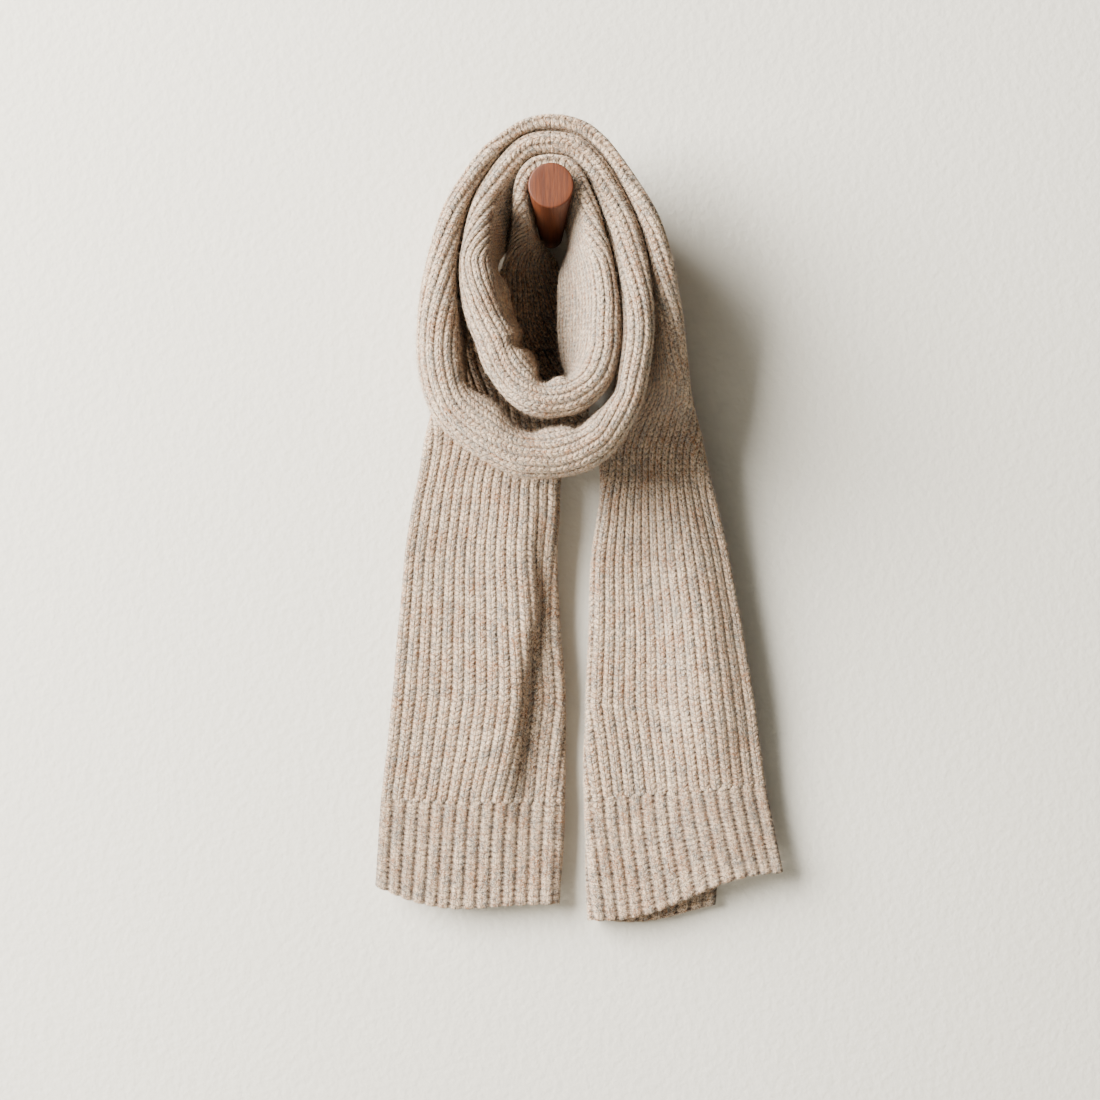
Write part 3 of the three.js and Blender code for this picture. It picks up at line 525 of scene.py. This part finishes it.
def end_with_finish(tree, geometry, start, end):
    real = tree.nodes.new("GeometryNodeRealizeInstances")
    link_nodes(tree, geometry, real.inputs[0])
    finish = tree.nodes.new("GeometryNodeSetMaterial")
    link_nodes(tree, real.outputs[0], finish.inputs["Geometry"])
    link_nodes(tree, start.outputs["Finish"], finish.inputs["Material"])
    link_nodes(tree, finish.outputs[0], end.inputs[0])


# %% The tree that raises the ribs
LOOSE_WAVES = 16.0  # waves of looseness in a metre


def rib_tree():
    tree = bpy.data.node_groups.new("raise_ribs", "GeometryNodeTree")
    face = tree.interface
    face.new_socket("Cloth", in_out="INPUT", socket_type="NodeSocketGeometry")
    for name in ("Height", "Roundness", "Looseness"):
        face.new_socket(name, in_out="INPUT", socket_type="NodeSocketFloat")
    face.new_socket("Finish", in_out="INPUT", socket_type="NodeSocketMaterial")
    face.new_socket("Cloth", in_out="OUTPUT", socket_type="NodeSocketGeometry")
    start = tree.nodes.new("NodeGroupInput")
    end = tree.nodes.new("NodeGroupOutput")
    knit = knit_numbers(tree)
    part = maths(tree, "FRACT", knit["X"])
    edge = maths(tree, "ABSOLUTE", maths(tree, "MULTIPLY_ADD", part, 2.0, -1.0))
    round_edge = maths(tree, "POWER", edge, start.outputs["Roundness"])
    profile = maths(tree, "SUBTRACT", 1.0, round_edge)
    height = maths(tree, "MULTIPLY", profile, start.outputs["Height"])
    height = maths(tree, "MULTIPLY", height, knit["Z"])
    normal = tree.nodes.new("GeometryNodeInputNormal")
    lift = vector_maths(tree, "SCALE", normal.outputs[0], height)
    noise = tree.nodes.new("ShaderNodeTexNoise")
    noise.inputs["Scale"].default_value = LOOSE_WAVES
    noise.inputs["Detail"].default_value = 1.0
    place = tree.nodes.new("GeometryNodeInputPosition")
    link_nodes(tree, place.outputs[0], noise.inputs["Vector"])
    either_way = vector_maths(tree, "SUBTRACT", noise.outputs["Color"], (0.5, 0.5, 0.5))
    loose = vector_maths(tree, "SCALE", either_way, start.outputs["Looseness"])
    move = tree.nodes.new("GeometryNodeSetPosition")
    link_nodes(tree, start.outputs["Cloth"], move.inputs["Geometry"])
    link_nodes(tree, vector_maths(tree, "ADD", lift, loose), move.inputs["Offset"])
    end_with_finish(tree, move.outputs[0], start, end)
    return tree


raise_ribs = rib_tree()
print("tree", raise_ribs.name, len(raise_ribs.nodes), "nodes")


# %% Apply a tree and keep a plain mesh
def apply_tree(piece, tree, values):
    modifier = piece.modifiers.new(tree.name, "NODES")
    modifier.node_group = tree
    for name, value in values.items():
        modifier[input_identifier(tree, name)] = value
    bpy.context.view_layer.update()
    graph = bpy.context.evaluated_depsgraph_get()
    done = bpy.data.meshes.new_from_object(piece.evaluated_get(graph), depsgraph=graph)
    piece.modifiers.remove(modifier)
    return done


def triangle_count(mesh):
    mesh.calc_loop_triangles()
    return len(mesh.loop_triangles)


# %% [markdown]
# ## Mixed yarn
# The yarn is an oatmeal melange: cream wool with tan and grey fibres that show as soft patches
# and flecks a few millimetres long. An image could paint them, but noises never repeat and need
# no flat layout. A shader group mixes six of them, so that the knit, the hem bands and the loose
# fibres all take the same colours. Their scales are in waves for each millimetre.

# %% The melange group
CREAM = (0.72, 0.510, 0.330, 1)
TAN = (0.42, 0.210, 0.100, 1)
GREY = (0.22, 0.190, 0.158, 1)
PALE = (0.94, 0.825, 0.665, 1)
SHADE = (0.065, 0.034, 0.019, 1)


def new_shader_group(name, inputs, outputs):
    tree = bpy.data.node_groups.new(name, "ShaderNodeTree")
    for label, kind in inputs:
        tree.interface.new_socket(label, in_out="INPUT", socket_type=kind)
    for label, kind in outputs:
        tree.interface.new_socket(label, in_out="OUTPUT", socket_type=kind)
    return tree, tree.nodes.new("NodeGroupInput"), tree.nodes.new("NodeGroupOutput")


def noise_node(tree, vector, scale, detail, stretch=None):
    if stretch is not None:
        vector = vector_maths(tree, "MULTIPLY", vector, stretch)
    node = tree.nodes.new("ShaderNodeTexNoise")
    node.inputs["Scale"].default_value = scale
    node.inputs["Detail"].default_value = detail
    link_nodes(tree, vector, node.inputs["Vector"])
    return node.outputs["Fac"]


def window(tree, value, low, high):
    node = tree.nodes.new("ShaderNodeMapRange")
    node.interpolation_type = "SMOOTHSTEP"
    node.inputs["From Min"].default_value = low
    node.inputs["From Max"].default_value = high
    link_nodes(tree, value, node.inputs["Value"])
    return node.outputs["Result"]


def mix_colour(tree, factor, a, b):
    node = tree.nodes.new("ShaderNodeMix")
    node.data_type = "RGBA"
    for place, value in ((0, factor), (6, a), (7, b)):
        fill(tree, value, node.inputs[place])
    return node.outputs[2]


# each noise: waves in a millimetre, detail, stretch across, along and through the cloth, the
# value where it starts to show and where it shows fully, and how strongly it shows
YARN_NOISES = {
    "tan_patch": (0.08, 2.0, (1.0, 0.6, 1.0), 0.42, 0.62, 0.45),
    "grey_patch": (0.13, 2.0, (1.0, 0.5, 1.3), 0.46, 0.64, 0.4),
    "tan_fleck": (0.34, 3.0, (1.0, 0.7, 1.0), 0.49, 0.58, 0.6),
    "grey_fleck": (0.40, 3.0, (1.1, 0.8, 0.7), 0.50, 0.59, 0.65),
    "dark_fleck": (0.80, 3.0, (1.2, 1.0, 0.9), 0.51, 0.60, 0.65),
    "pale_fibre": (1.3, 3.0, (1.0, 1.0, 1.0), 0.51, 0.62, 0.7),
}


def melange_group():
    tree, start, end = new_shader_group(
        "melange_yarn", [("Place", "NodeSocketVector")],
        [("Colour", "NodeSocketColor"), ("Fleck", "NodeSocketFloat")])
    noises = {}
    shares = {}
    for name, (waves, detail, stretch, low, high, strength) in YARN_NOISES.items():
        noises[name] = noise_node(tree, start.outputs["Place"], waves, detail, stretch)
        shares[name] = maths(tree, "MULTIPLY", window(tree, noises[name], low, high), strength)
    tan = maths(tree, "ADD", shares["tan_patch"], shares["tan_fleck"])
    grey = maths(tree, "ADD", shares["grey_patch"], shares["grey_fleck"])
    colour = mix_colour(tree, tan, CREAM, TAN)
    colour = mix_colour(tree, grey, colour, GREY)
    colour = mix_colour(tree, shares["pale_fibre"], colour, PALE)
    colour = mix_colour(tree, shares["dark_fleck"], colour, SHADE)
    link_nodes(tree, colour, end.inputs["Colour"])
    link_nodes(tree, noises["pale_fibre"], end.inputs["Fleck"])
    return tree


melange_yarn = melange_group()
print("group", melange_yarn.name, len(melange_yarn.nodes), "nodes")

# %% [markdown]
# ## Stitches
# On the real scarf every rib is a column of V shaped stitches, about four millimetres long, and
# each groove shows a row of small dark holes. There are tens of thousands, so they are drawn as
# relief and as painted shade in the colour, from the same rib and stitch numbers: the grooves,
# the holes and the seams between the legs are darkened where shade falls. The hem bands have
# smoother, broader ribs, which is the same group with a weaker V.

# %% The stitch group
def stitch_group():
    tree, start, end = new_shader_group(
        "rib_stitches",
        [("Knit", "NodeSocketVector"), ("Lean", "NodeSocketFloat"),
         ("Leg Height", "NodeSocketFloat"), ("Groove Start", "NodeSocketFloat")],
        [("Height", "NodeSocketFloat"), ("Shade", "NodeSocketFloat")])
    split = tree.nodes.new("ShaderNodeSeparateXYZ")
    link_nodes(tree, start.outputs["Knit"], split.inputs[0])
    # a slight wobble keeps the columns and rows of stitches from being ruler straight
    wobble = noise_node(tree, start.outputs["Knit"], 1.3, 1.0)
    across = maths(tree, "MULTIPLY_ADD", wobble, 0.10, split.outputs["X"])
    part = maths(tree, "FRACT", maths(tree, "SUBTRACT", across, 0.05))
    edge = maths(tree, "ABSOLUTE", maths(tree, "MULTIPLY_ADD", part, 2.0, -1.0))
    # edge runs from 0 on a rib's middle line to 1 in its grooves; the legs of each V lean with it
    lean = maths(tree, "MULTIPLY", edge, start.outputs["Lean"])
    along = maths(tree, "ADD", split.outputs["Y"], lean)
    along = maths(tree, "MULTIPLY_ADD", wobble, 0.5, along)
    wave = maths(tree, "ABSOLUTE", maths(tree, "SINE", maths(tree, "MULTIPLY", along, math.pi)))
    leg = maths(tree, "POWER", wave, 0.6)
    fade = maths(tree, "SUBTRACT", 1.0, maths(tree, "POWER", edge, 4.0))
    leg = maths(tree, "MULTIPLY", maths(tree, "MULTIPLY", leg, fade), start.outputs["Leg Height"])
    middle = window(tree, edge, 0.0, 0.22)
    half_height = maths(tree, "MULTIPLY", start.outputs["Leg Height"], 0.5)
    middle = maths(tree, "MULTIPLY", middle, half_height)
    # the grooves, with a hole at each stitch that is deeper in some places than in others
    groove = tree.nodes.new("ShaderNodeMapRange")
    groove.interpolation_type = "SMOOTHSTEP"
    groove.inputs["From Max"].default_value = 1.0
    link_nodes(tree, edge, groove.inputs["Value"])
    link_nodes(tree, start.outputs["Groove Start"], groove.inputs["From Min"])
    dots = maths(tree, "MULTIPLY_ADD", wave, -0.6, 0.9)
    fray = noise_node(tree, start.outputs["Knit"], 2.6, 2.0)
    uneven = maths(tree, "MULTIPLY_ADD", window(tree, fray, 0.40, 0.60), 0.9, 0.4)
    dots = maths(tree, "MULTIPLY", dots, uneven)
    hole = maths(tree, "MULTIPLY", groove.outputs["Result"], dots)
    height = maths(tree, "SUBTRACT", maths(tree, "ADD", leg, middle), hole)
    link_nodes(tree, height, end.inputs["Height"])
    # painted shade: darker colour in the grooves, the holes, the middle lines and between the
    # legs
    painted_shade_middle_line = maths(tree, "SUBTRACT", 1.0, window(tree, edge, 0.0, 0.16))
    painted_shade_middle_line = maths(tree, "MULTIPLY", painted_shade_middle_line, 0.3)
    painted_shade_between_legs = maths(tree, "SUBTRACT", 1.0, window(tree, wave, 0.0, 0.55))
    painted_shade_between_legs = maths(tree, "MULTIPLY_ADD", painted_shade_between_legs, 0.55, painted_shade_middle_line)
    shade = maths(tree, "ADD", maths(tree, "MULTIPLY", groove.outputs["Result"], 0.22),
                  maths(tree, "MULTIPLY", hole, 0.60))
    painted_leg_shade = maths(tree, "MULTIPLY", painted_shade_between_legs, start.outputs["Leg Height"])
    shade = maths(tree, "ADD", shade, painted_leg_shade, clamp=True)
    link_nodes(tree, shade, end.inputs["Shade"])
    return tree


rib_stitches = stitch_group()
print("group", rib_stitches.name, len(rib_stitches.nodes), "nodes")

# %% The two knit materials
# colour of the painted shade in the grooves, the holes and between the stitch legs
PAINTED_SHADE_COLOUR = (0.075, 0.040, 0.021, 1)
RIB_PITCH_MM = CLOTH_WIDTH / BODY_RIBS / MILLIMETRES
HEM_PITCH_MM = CLOTH_WIDTH / CUFF_RIBS / MILLIMETRES
INNER_FACE_SHIFT = 40.0  # mm in the noise between the outer and the inner face of the cloth


def new_material(name):
    material = bpy.data.materials.new(name)
    material.use_nodes = True
    return material, material.node_tree, material.node_tree.nodes["Principled BSDF"]


def add_relief(tree, shader, height, strength, distance):
    bump = tree.nodes.new("ShaderNodeBump")
    bump.inputs["Strength"].default_value = strength
    bump.inputs["Distance"].default_value = distance
    link_nodes(tree, height, bump.inputs["Height"])
    link_nodes(tree, bump.outputs[0], shader.inputs["Normal"])


def group_node(tree, group, **values):
    node = tree.nodes.new("ShaderNodeGroup")
    node.node_tree = group
    for name, value in values.items():
        node.inputs[name.replace("_", " ")].default_value = value
    return node


def knit_material(name, lean, leg_height, groove_start, pitch, relief, painted_shade_strength):
    material, tree, shader = new_material(name)
    shader.inputs["Roughness"].default_value = 0.92
    shader.inputs["Specular IOR Level"].default_value = 0.15
    shader.inputs["Sheen Weight"].default_value = 0.35
    shader.inputs["Sheen Roughness"].default_value = 0.45
    shader.inputs["Sheen Tint"].default_value = (1.0, 0.94, 0.86, 1)
    knit = tree.nodes.new("ShaderNodeAttribute")
    knit.attribute_name = "knit"
    stitch_mm = (pitch, STITCH / MILLIMETRES, INNER_FACE_SHIFT)
    yarn = group_node(tree, melange_yarn)
    place = vector_maths(tree, "MULTIPLY", knit.outputs["Vector"], stitch_mm)
    link_nodes(tree, place, yarn.inputs["Place"])
    stitches = group_node(tree, rib_stitches, Lean=lean, Leg_Height=leg_height,
                          Groove_Start=groove_start)
    link_nodes(tree, knit.outputs["Vector"], stitches.inputs["Knit"])
    # painted shade: the stitch group's shade darkens the yarn colour toward a deep brown
    shade = maths(tree, "MULTIPLY", stitches.outputs["Shade"], painted_shade_strength, clamp=True)
    colour = mix_colour(tree, shade, yarn.outputs["Colour"], PAINTED_SHADE_COLOUR)
    link_nodes(tree, colour, shader.inputs["Base Color"])
    height = maths(tree, "MULTIPLY_ADD", yarn.outputs["Fleck"], 1.1, stitches.outputs["Height"])
    add_relief(tree, shader, height, 1.0, relief)
    return material


rib_knit = knit_material("rib_knit_wool", lean=0.55, leg_height=0.85, groove_start=0.60,
                         pitch=RIB_PITCH_MM, relief=0.0014, painted_shade_strength=0.75)
# the hem bands get stronger painted shade in their broader grooves
hem_knit = knit_material("hem_knit_wool", lean=0.35, leg_height=0.4, groove_start=0.45,
                         pitch=HEM_PITCH_MM, relief=0.0018, painted_shade_strength=1.25)
print("materials", rib_knit.name, hem_knit.name)

# %% Raise the ribs on every stretch
CUFFS = ("left_cuff", "right_cuff")
LOOSENESS = 0.0022
for name, shell in shells.items():
    cuff = name in CUFFS
    rise = CUFF_RISE if cuff else RIB_RISE
    done = apply_tree(shell, raise_ribs, {
        "Height": rise + GROOVE_DIP,
        "Roundness": 2.3 if cuff else 3.0,
        "Looseness": LOOSENESS,
        "Finish": hem_knit if cuff else rib_knit,
    })
    shell.data = done
    print(shell.name, triangle_count(done), "triangles")

# %% [markdown]
# ## Loose fibres
# Brushed wool has a halo of short fibres that softens every edge. They could be hair particles,
# but the model has to be plain meshes, so a Geometry Nodes tree scatters thin three sided
# spikes over the outer face, tilts each one at random and joins them to one mesh.

# %% The fibre tree
FIBRE_LENGTH = 0.0031
FIBRE_THICK = 0.00009
FIBRE_SIZES = (0.45, 1.25)  # least and most, in parts of the length and thickness
FIBRE_LEAN = 1.15  # most lean either way, in radians
FIBRE_SPIN = 3.14
FIRST_SEED = 3


def fibre_tree():
    tree = bpy.data.node_groups.new("loose_fibres", "GeometryNodeTree")
    face = tree.interface
    face.new_socket("Cloth", in_out="INPUT", socket_type="NodeSocketGeometry")
    for name in ("Density", "Length", "Thickness"):
        face.new_socket(name, in_out="INPUT", socket_type="NodeSocketFloat")
    face.new_socket("Seed", in_out="INPUT", socket_type="NodeSocketInt")
    face.new_socket("Finish", in_out="INPUT", socket_type="NodeSocketMaterial")
    face.new_socket("Fibres", in_out="OUTPUT", socket_type="NodeSocketGeometry")
    start = tree.nodes.new("NodeGroupInput")
    end = tree.nodes.new("NodeGroupOutput")
    outer = maths(tree, "GREATER_THAN", knit_numbers(tree)["Z"], 0.5)
    spread = tree.nodes.new("GeometryNodeDistributePointsOnFaces")
    link_nodes(tree, start.outputs["Cloth"], spread.inputs["Mesh"])
    link_nodes(tree, outer, spread.inputs["Selection"])
    link_nodes(tree, start.outputs["Density"], spread.inputs["Density"])
    link_nodes(tree, start.outputs["Seed"], spread.inputs["Seed"])
    spike = tree.nodes.new("GeometryNodeMeshCone")
    spike.fill_type = "NONE"
    spike.inputs["Vertices"].default_value = 3
    spike.inputs["Radius Top"].default_value = 0.0
    link_nodes(tree, start.outputs["Thickness"], spike.inputs["Radius Bottom"])
    link_nodes(tree, start.outputs["Length"], spike.inputs["Depth"])
    tilt = tree.nodes.new("FunctionNodeRandomValue")
    tilt.data_type = "FLOAT_VECTOR"
    tilt.inputs["Min"].default_value = (-FIBRE_LEAN, -FIBRE_LEAN, -FIBRE_SPIN)
    tilt.inputs["Max"].default_value = (FIBRE_LEAN, FIBRE_LEAN, FIBRE_SPIN)
    link_nodes(tree, start.outputs["Seed"], tilt.inputs["Seed"])
    as_rotation = tree.nodes.new("FunctionNodeEulerToRotation")
    link_nodes(tree, tilt.outputs["Value"], as_rotation.inputs[0])
    turn = tree.nodes.new("FunctionNodeRotateRotation")
    turn.rotation_space = "LOCAL"
    link_nodes(tree, spread.outputs["Rotation"], turn.inputs["Rotation"])
    link_nodes(tree, as_rotation.outputs[0], turn.inputs["Rotate By"])
    size = tree.nodes.new("FunctionNodeRandomValue")
    size.data_type = "FLOAT"
    size.inputs[2].default_value = FIBRE_SIZES[0]
    size.inputs[3].default_value = FIBRE_SIZES[1]
    link_nodes(tree, start.outputs["Seed"], size.inputs["Seed"])
    plant = tree.nodes.new("GeometryNodeInstanceOnPoints")
    link_nodes(tree, spread.outputs["Points"], plant.inputs["Points"])
    link_nodes(tree, spike.outputs["Mesh"], plant.inputs["Instance"])
    link_nodes(tree, turn.outputs[0], plant.inputs["Rotation"])
    link_nodes(tree, size.outputs[1], plant.inputs["Scale"])
    end_with_finish(tree, plant.outputs[0], start, end)
    return tree


loose_fibres = fibre_tree()
print("tree", loose_fibres.name, len(loose_fibres.nodes), "nodes")


# %% The fibre material
def fibre_material():
    material, tree, shader = new_material("wool_fibres")
    shader.inputs["Roughness"].default_value = 0.85
    shader.inputs["Specular IOR Level"].default_value = 0.2
    shader.inputs["Sheen Weight"].default_value = 0.3
    place = tree.nodes.new("ShaderNodeTexCoord").outputs["Object"]
    yarn = group_node(tree, melange_yarn)
    link_nodes(tree, vector_maths(tree, "SCALE", place, 1 / MILLIMETRES), yarn.inputs["Place"])
    link_nodes(tree, yarn.outputs["Colour"], shader.inputs["Base Color"])
    return material


wool_fibres = fibre_material()

# %% Scatter the fibres
FIBRE_DENSITY = 150000  # for each square metre of outer face
fibres = {}
for seed, (name, shell) in enumerate(shells.items()):
    mesh = apply_tree(shell, loose_fibres, {
        "Density": float(FIBRE_DENSITY),
        "Length": FIBRE_LENGTH,
        "Thickness": FIBRE_THICK,
        "Seed": seed + FIRST_SEED,
        "Finish": wool_fibres,
    })
    mesh.name = "fibres_" + name
    fibres[name] = bpy.data.objects.new("fibres_" + name, mesh)
    bpy.context.scene.collection.objects.link(fibres[name])
    print(mesh.name, triangle_count(mesh), "triangles")

# %% [markdown]
# ## The peg
# The peg is one turned piece of red-brown wood, tapered toward the wall and tilted up, with a
# softly broken edge round its flat end. The solid has forty flats, so the shown peg is turned
# again with more sides and a round edge, from the same sizes.

# %% Turn the peg
PEG_LENGTH = 0.116
PEG_RISE = 0.2
PEG_BASE_R = 0.0084
PEG_FACE_R = 0.0159
PEG_EDGE = 0.0012
PEG_SIDES = 96
EDGE_STEPS = 5


def peg_profile():
    taper = (PEG_FACE_R - PEG_BASE_R) / PEG_LENGTH
    rings = [(0.0, PEG_BASE_R)]
    for share in (0.12, 0.3, 0.5, 0.7, 0.85, 0.95):
        rings.append((share * PEG_LENGTH, PEG_BASE_R + share * PEG_LENGTH * taper))
    for k in range(EDGE_STEPS + 1):
        angle = math.pi / 2 * k / EDGE_STEPS
        out = PEG_LENGTH - PEG_EDGE + PEG_EDGE * math.sin(angle)
        rings.append((out, PEG_FACE_R - PEG_EDGE + PEG_EDGE * math.cos(angle)))
    for share in (0.75, 0.5, 0.25):
        rings.append((PEG_LENGTH, (PEG_FACE_R - PEG_EDGE) * share))
    return rings


def make_peg(material):
    points = []
    for out, radius in peg_profile():
        for i in range(PEG_SIDES):
            angle = 2 * math.pi * i / PEG_SIDES
            up = PEG_RISE * out + math.sin(angle) * radius
            points.append((math.cos(angle) * radius, -out, up))
    rings = len(points) // PEG_SIDES
    faces = []
    for ring in range(rings - 1):
        for i in range(PEG_SIDES):
            j = (i + 1) % PEG_SIDES
            a = ring * PEG_SIDES
            faces.append((a + i, a + j, a + PEG_SIDES + j, a + PEG_SIDES + i))
    last = (rings - 1) * PEG_SIDES
    points += [(0, 0, 0), (0, -PEG_LENGTH, PEG_RISE * PEG_LENGTH)]
    for i in range(PEG_SIDES):
        j = (i + 1) % PEG_SIDES
        faces.append((len(points) - 2, j, i))
        faces.append((len(points) - 1, last + i, last + j))
    if signed_volume(np.array(points), faces) < 0:
        faces = [face[::-1] for face in faces]
    mesh = bpy.data.meshes.new("turned_peg")
    mesh.from_pydata(points, [], faces)
    mesh.polygons.foreach_set("use_smooth", [len(face) == 4 for face in faces])
    mesh.materials.append(material)
    peg = bpy.data.objects.new("turned_peg", mesh)
    bpy.context.scene.collection.objects.link(peg)
    return peg


# %% Wood with upright end grain
# The end face shows fine, nearly straight grain that stands upright; the sides show the same
# grain running toward the wall. Both come from one noise stretched along the wood's length
# and a slight band of growth rings.
WOOD = (0.075, 0.0155, 0.0022, 1)
WOOD_PALE = (0.110, 0.025, 0.0038, 1)
WOOD_DARK = (0.030, 0.006, 0.0010, 1)


def wood_material():
    material, tree, shader = new_material("oiled_wood")
    shader.inputs["Specular IOR Level"].default_value = 0.4
    place = tree.nodes.new("ShaderNodeTexCoord").outputs["Object"]
    grain = noise_node(tree, place, 1.0, 3.0, (2600.0, 40.0, 130.0))
    bands = noise_node(tree, place, 1.0, 2.0, (520.0, 14.0, 40.0))
    speck = noise_node(tree, place, 1.0, 2.0, (3200.0, 500.0, 900.0))
    colour = mix_colour(tree, window(tree, bands, 0.38, 0.62), WOOD, WOOD_PALE)
    line = maths(tree, "MULTIPLY", window(tree, grain, 0.52, 0.68), 0.5)
    colour = mix_colour(tree, line, colour, WOOD_DARK)
    link_nodes(tree, colour, shader.inputs["Base Color"])
    rough = maths(tree, "MULTIPLY_ADD", grain, 0.25, 0.42)
    link_nodes(tree, rough, shader.inputs["Roughness"])
    pores = maths(tree, "MULTIPLY", speck, 0.5)
    add_relief(tree, shader, maths(tree, "ADD", grain, pores), 0.4, 0.0003)
    return material


peg = make_peg(wood_material())
print(peg.name, triangle_count(peg.data), "triangles")

# %% [markdown]
# ## What carries the object
# A pale plaster wall stands right behind the peg and a pale floor lies far below. Neither is
# part of the object. The wall lets sight through from behind, so that the back of the scarf
# can be looked at too.

# %% Wall and floor
WALL_PAINT = (0.70, 0.665, 0.577, 1)
FLOOR_PAINT = (0.42, 0.408, 0.380, 1)


def plaster_material(name, paint):
    material, tree, shader = new_material(name)
    shader.inputs["Roughness"].default_value = 0.9
    shader.inputs["Specular IOR Level"].default_value = 0.2
    shader.inputs["Base Color"].default_value = paint
    place = tree.nodes.new("ShaderNodeTexCoord").outputs["Object"]
    add_relief(tree, shader, noise_node(tree, place, 170.0, 4.0), 0.35, 0.002)
    clear = tree.nodes.new("ShaderNodeBsdfTransparent")
    side = tree.nodes.new("ShaderNodeNewGeometry")
    mix = tree.nodes.new("ShaderNodeMixShader")
    link_nodes(tree, side.outputs["Backfacing"], mix.inputs[0])
    link_nodes(tree, shader.outputs[0], mix.inputs[1])
    link_nodes(tree, clear.outputs[0], mix.inputs[2])
    link_nodes(tree, mix.outputs[0], tree.nodes["Material Output"].inputs["Surface"])
    return material


def flat_sheet(name, corners, material):
    mesh = bpy.data.meshes.new(name)
    mesh.from_pydata(corners, [], [(0, 1, 2, 3)])
    mesh.materials.append(material)
    sheet = bpy.data.objects.new(name, mesh)
    bpy.context.scene.collection.objects.link(sheet)
    return sheet


plaster = plaster_material("pale_plaster", WALL_PAINT)
screed = plaster_material("pale_screed", FLOOR_PAINT)
WALL_HALF = 3.0
WALL_BACK = 0.0008
WALL_TOP = 2.2
FLOOR_DOWN = -1.75
FLOOR_FRONT = -5
FLOOR_BEHIND = 3
wall = flat_sheet("plaster_wall", [
    (-WALL_HALF, WALL_BACK, FLOOR_DOWN), (WALL_HALF, WALL_BACK, FLOOR_DOWN),
    (WALL_HALF, WALL_BACK, WALL_TOP), (-WALL_HALF, WALL_BACK, WALL_TOP)], plaster)
floor = flat_sheet("pale_floor", [
    (-WALL_HALF, FLOOR_FRONT, FLOOR_DOWN), (WALL_HALF, FLOOR_FRONT, FLOOR_DOWN),
    (WALL_HALF, FLOOR_BEHIND, FLOOR_DOWN), (-WALL_HALF, FLOOR_BEHIND, FLOOR_DOWN)], screed)
print("stage", wall.name, floor.name)

# %% [markdown]
# ## Light
# The light is one very large soft source high on the left, with almost nothing round it, so
# shadows fall softly to the lower right, the folds that face left are bright and the pits
# between the layers stay dark.

# %% Lamps and surroundings
AIM = Vector((0.02, -0.03, -0.25))
DAYLIGHT = (1.0, 0.985, 0.955)


def area_light(name, place, size, power, colour):
    data = bpy.data.lights.new(name, "AREA")
    data.shape = "SQUARE"
    data.size = size
    data.energy = power
    data.color = colour
    light = bpy.data.objects.new(name, data)
    light.location = place
    light.rotation_euler = (AIM - Vector(place)).to_track_quat("-Z", "Y").to_euler()
    bpy.context.scene.collection.objects.link(light)
    return light


area_light("window_left", place=(-2.4, -1.75, 0.95), size=2.5, power=760, colour=DAYLIGHT)
world = bpy.data.worlds.new("studio_air")
world.use_nodes = True
air = world.node_tree.nodes["Background"]
air.inputs["Color"].default_value = (1.0, 0.985, 0.96, 1)
air.inputs["Strength"].default_value = 0.01
bpy.context.scene.world = world
print("light and air placed")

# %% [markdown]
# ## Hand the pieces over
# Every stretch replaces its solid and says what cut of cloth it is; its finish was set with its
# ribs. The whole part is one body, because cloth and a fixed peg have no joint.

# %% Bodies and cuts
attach(peg, "root")
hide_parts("peg")
for name, shell in shells.items():
    for piece in (shell, fibres[name]):
        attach(piece, "root")
    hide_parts(name)
    print(name, "cut", CLOTH_WIDTH, "by", round(cut_length[name], 3))
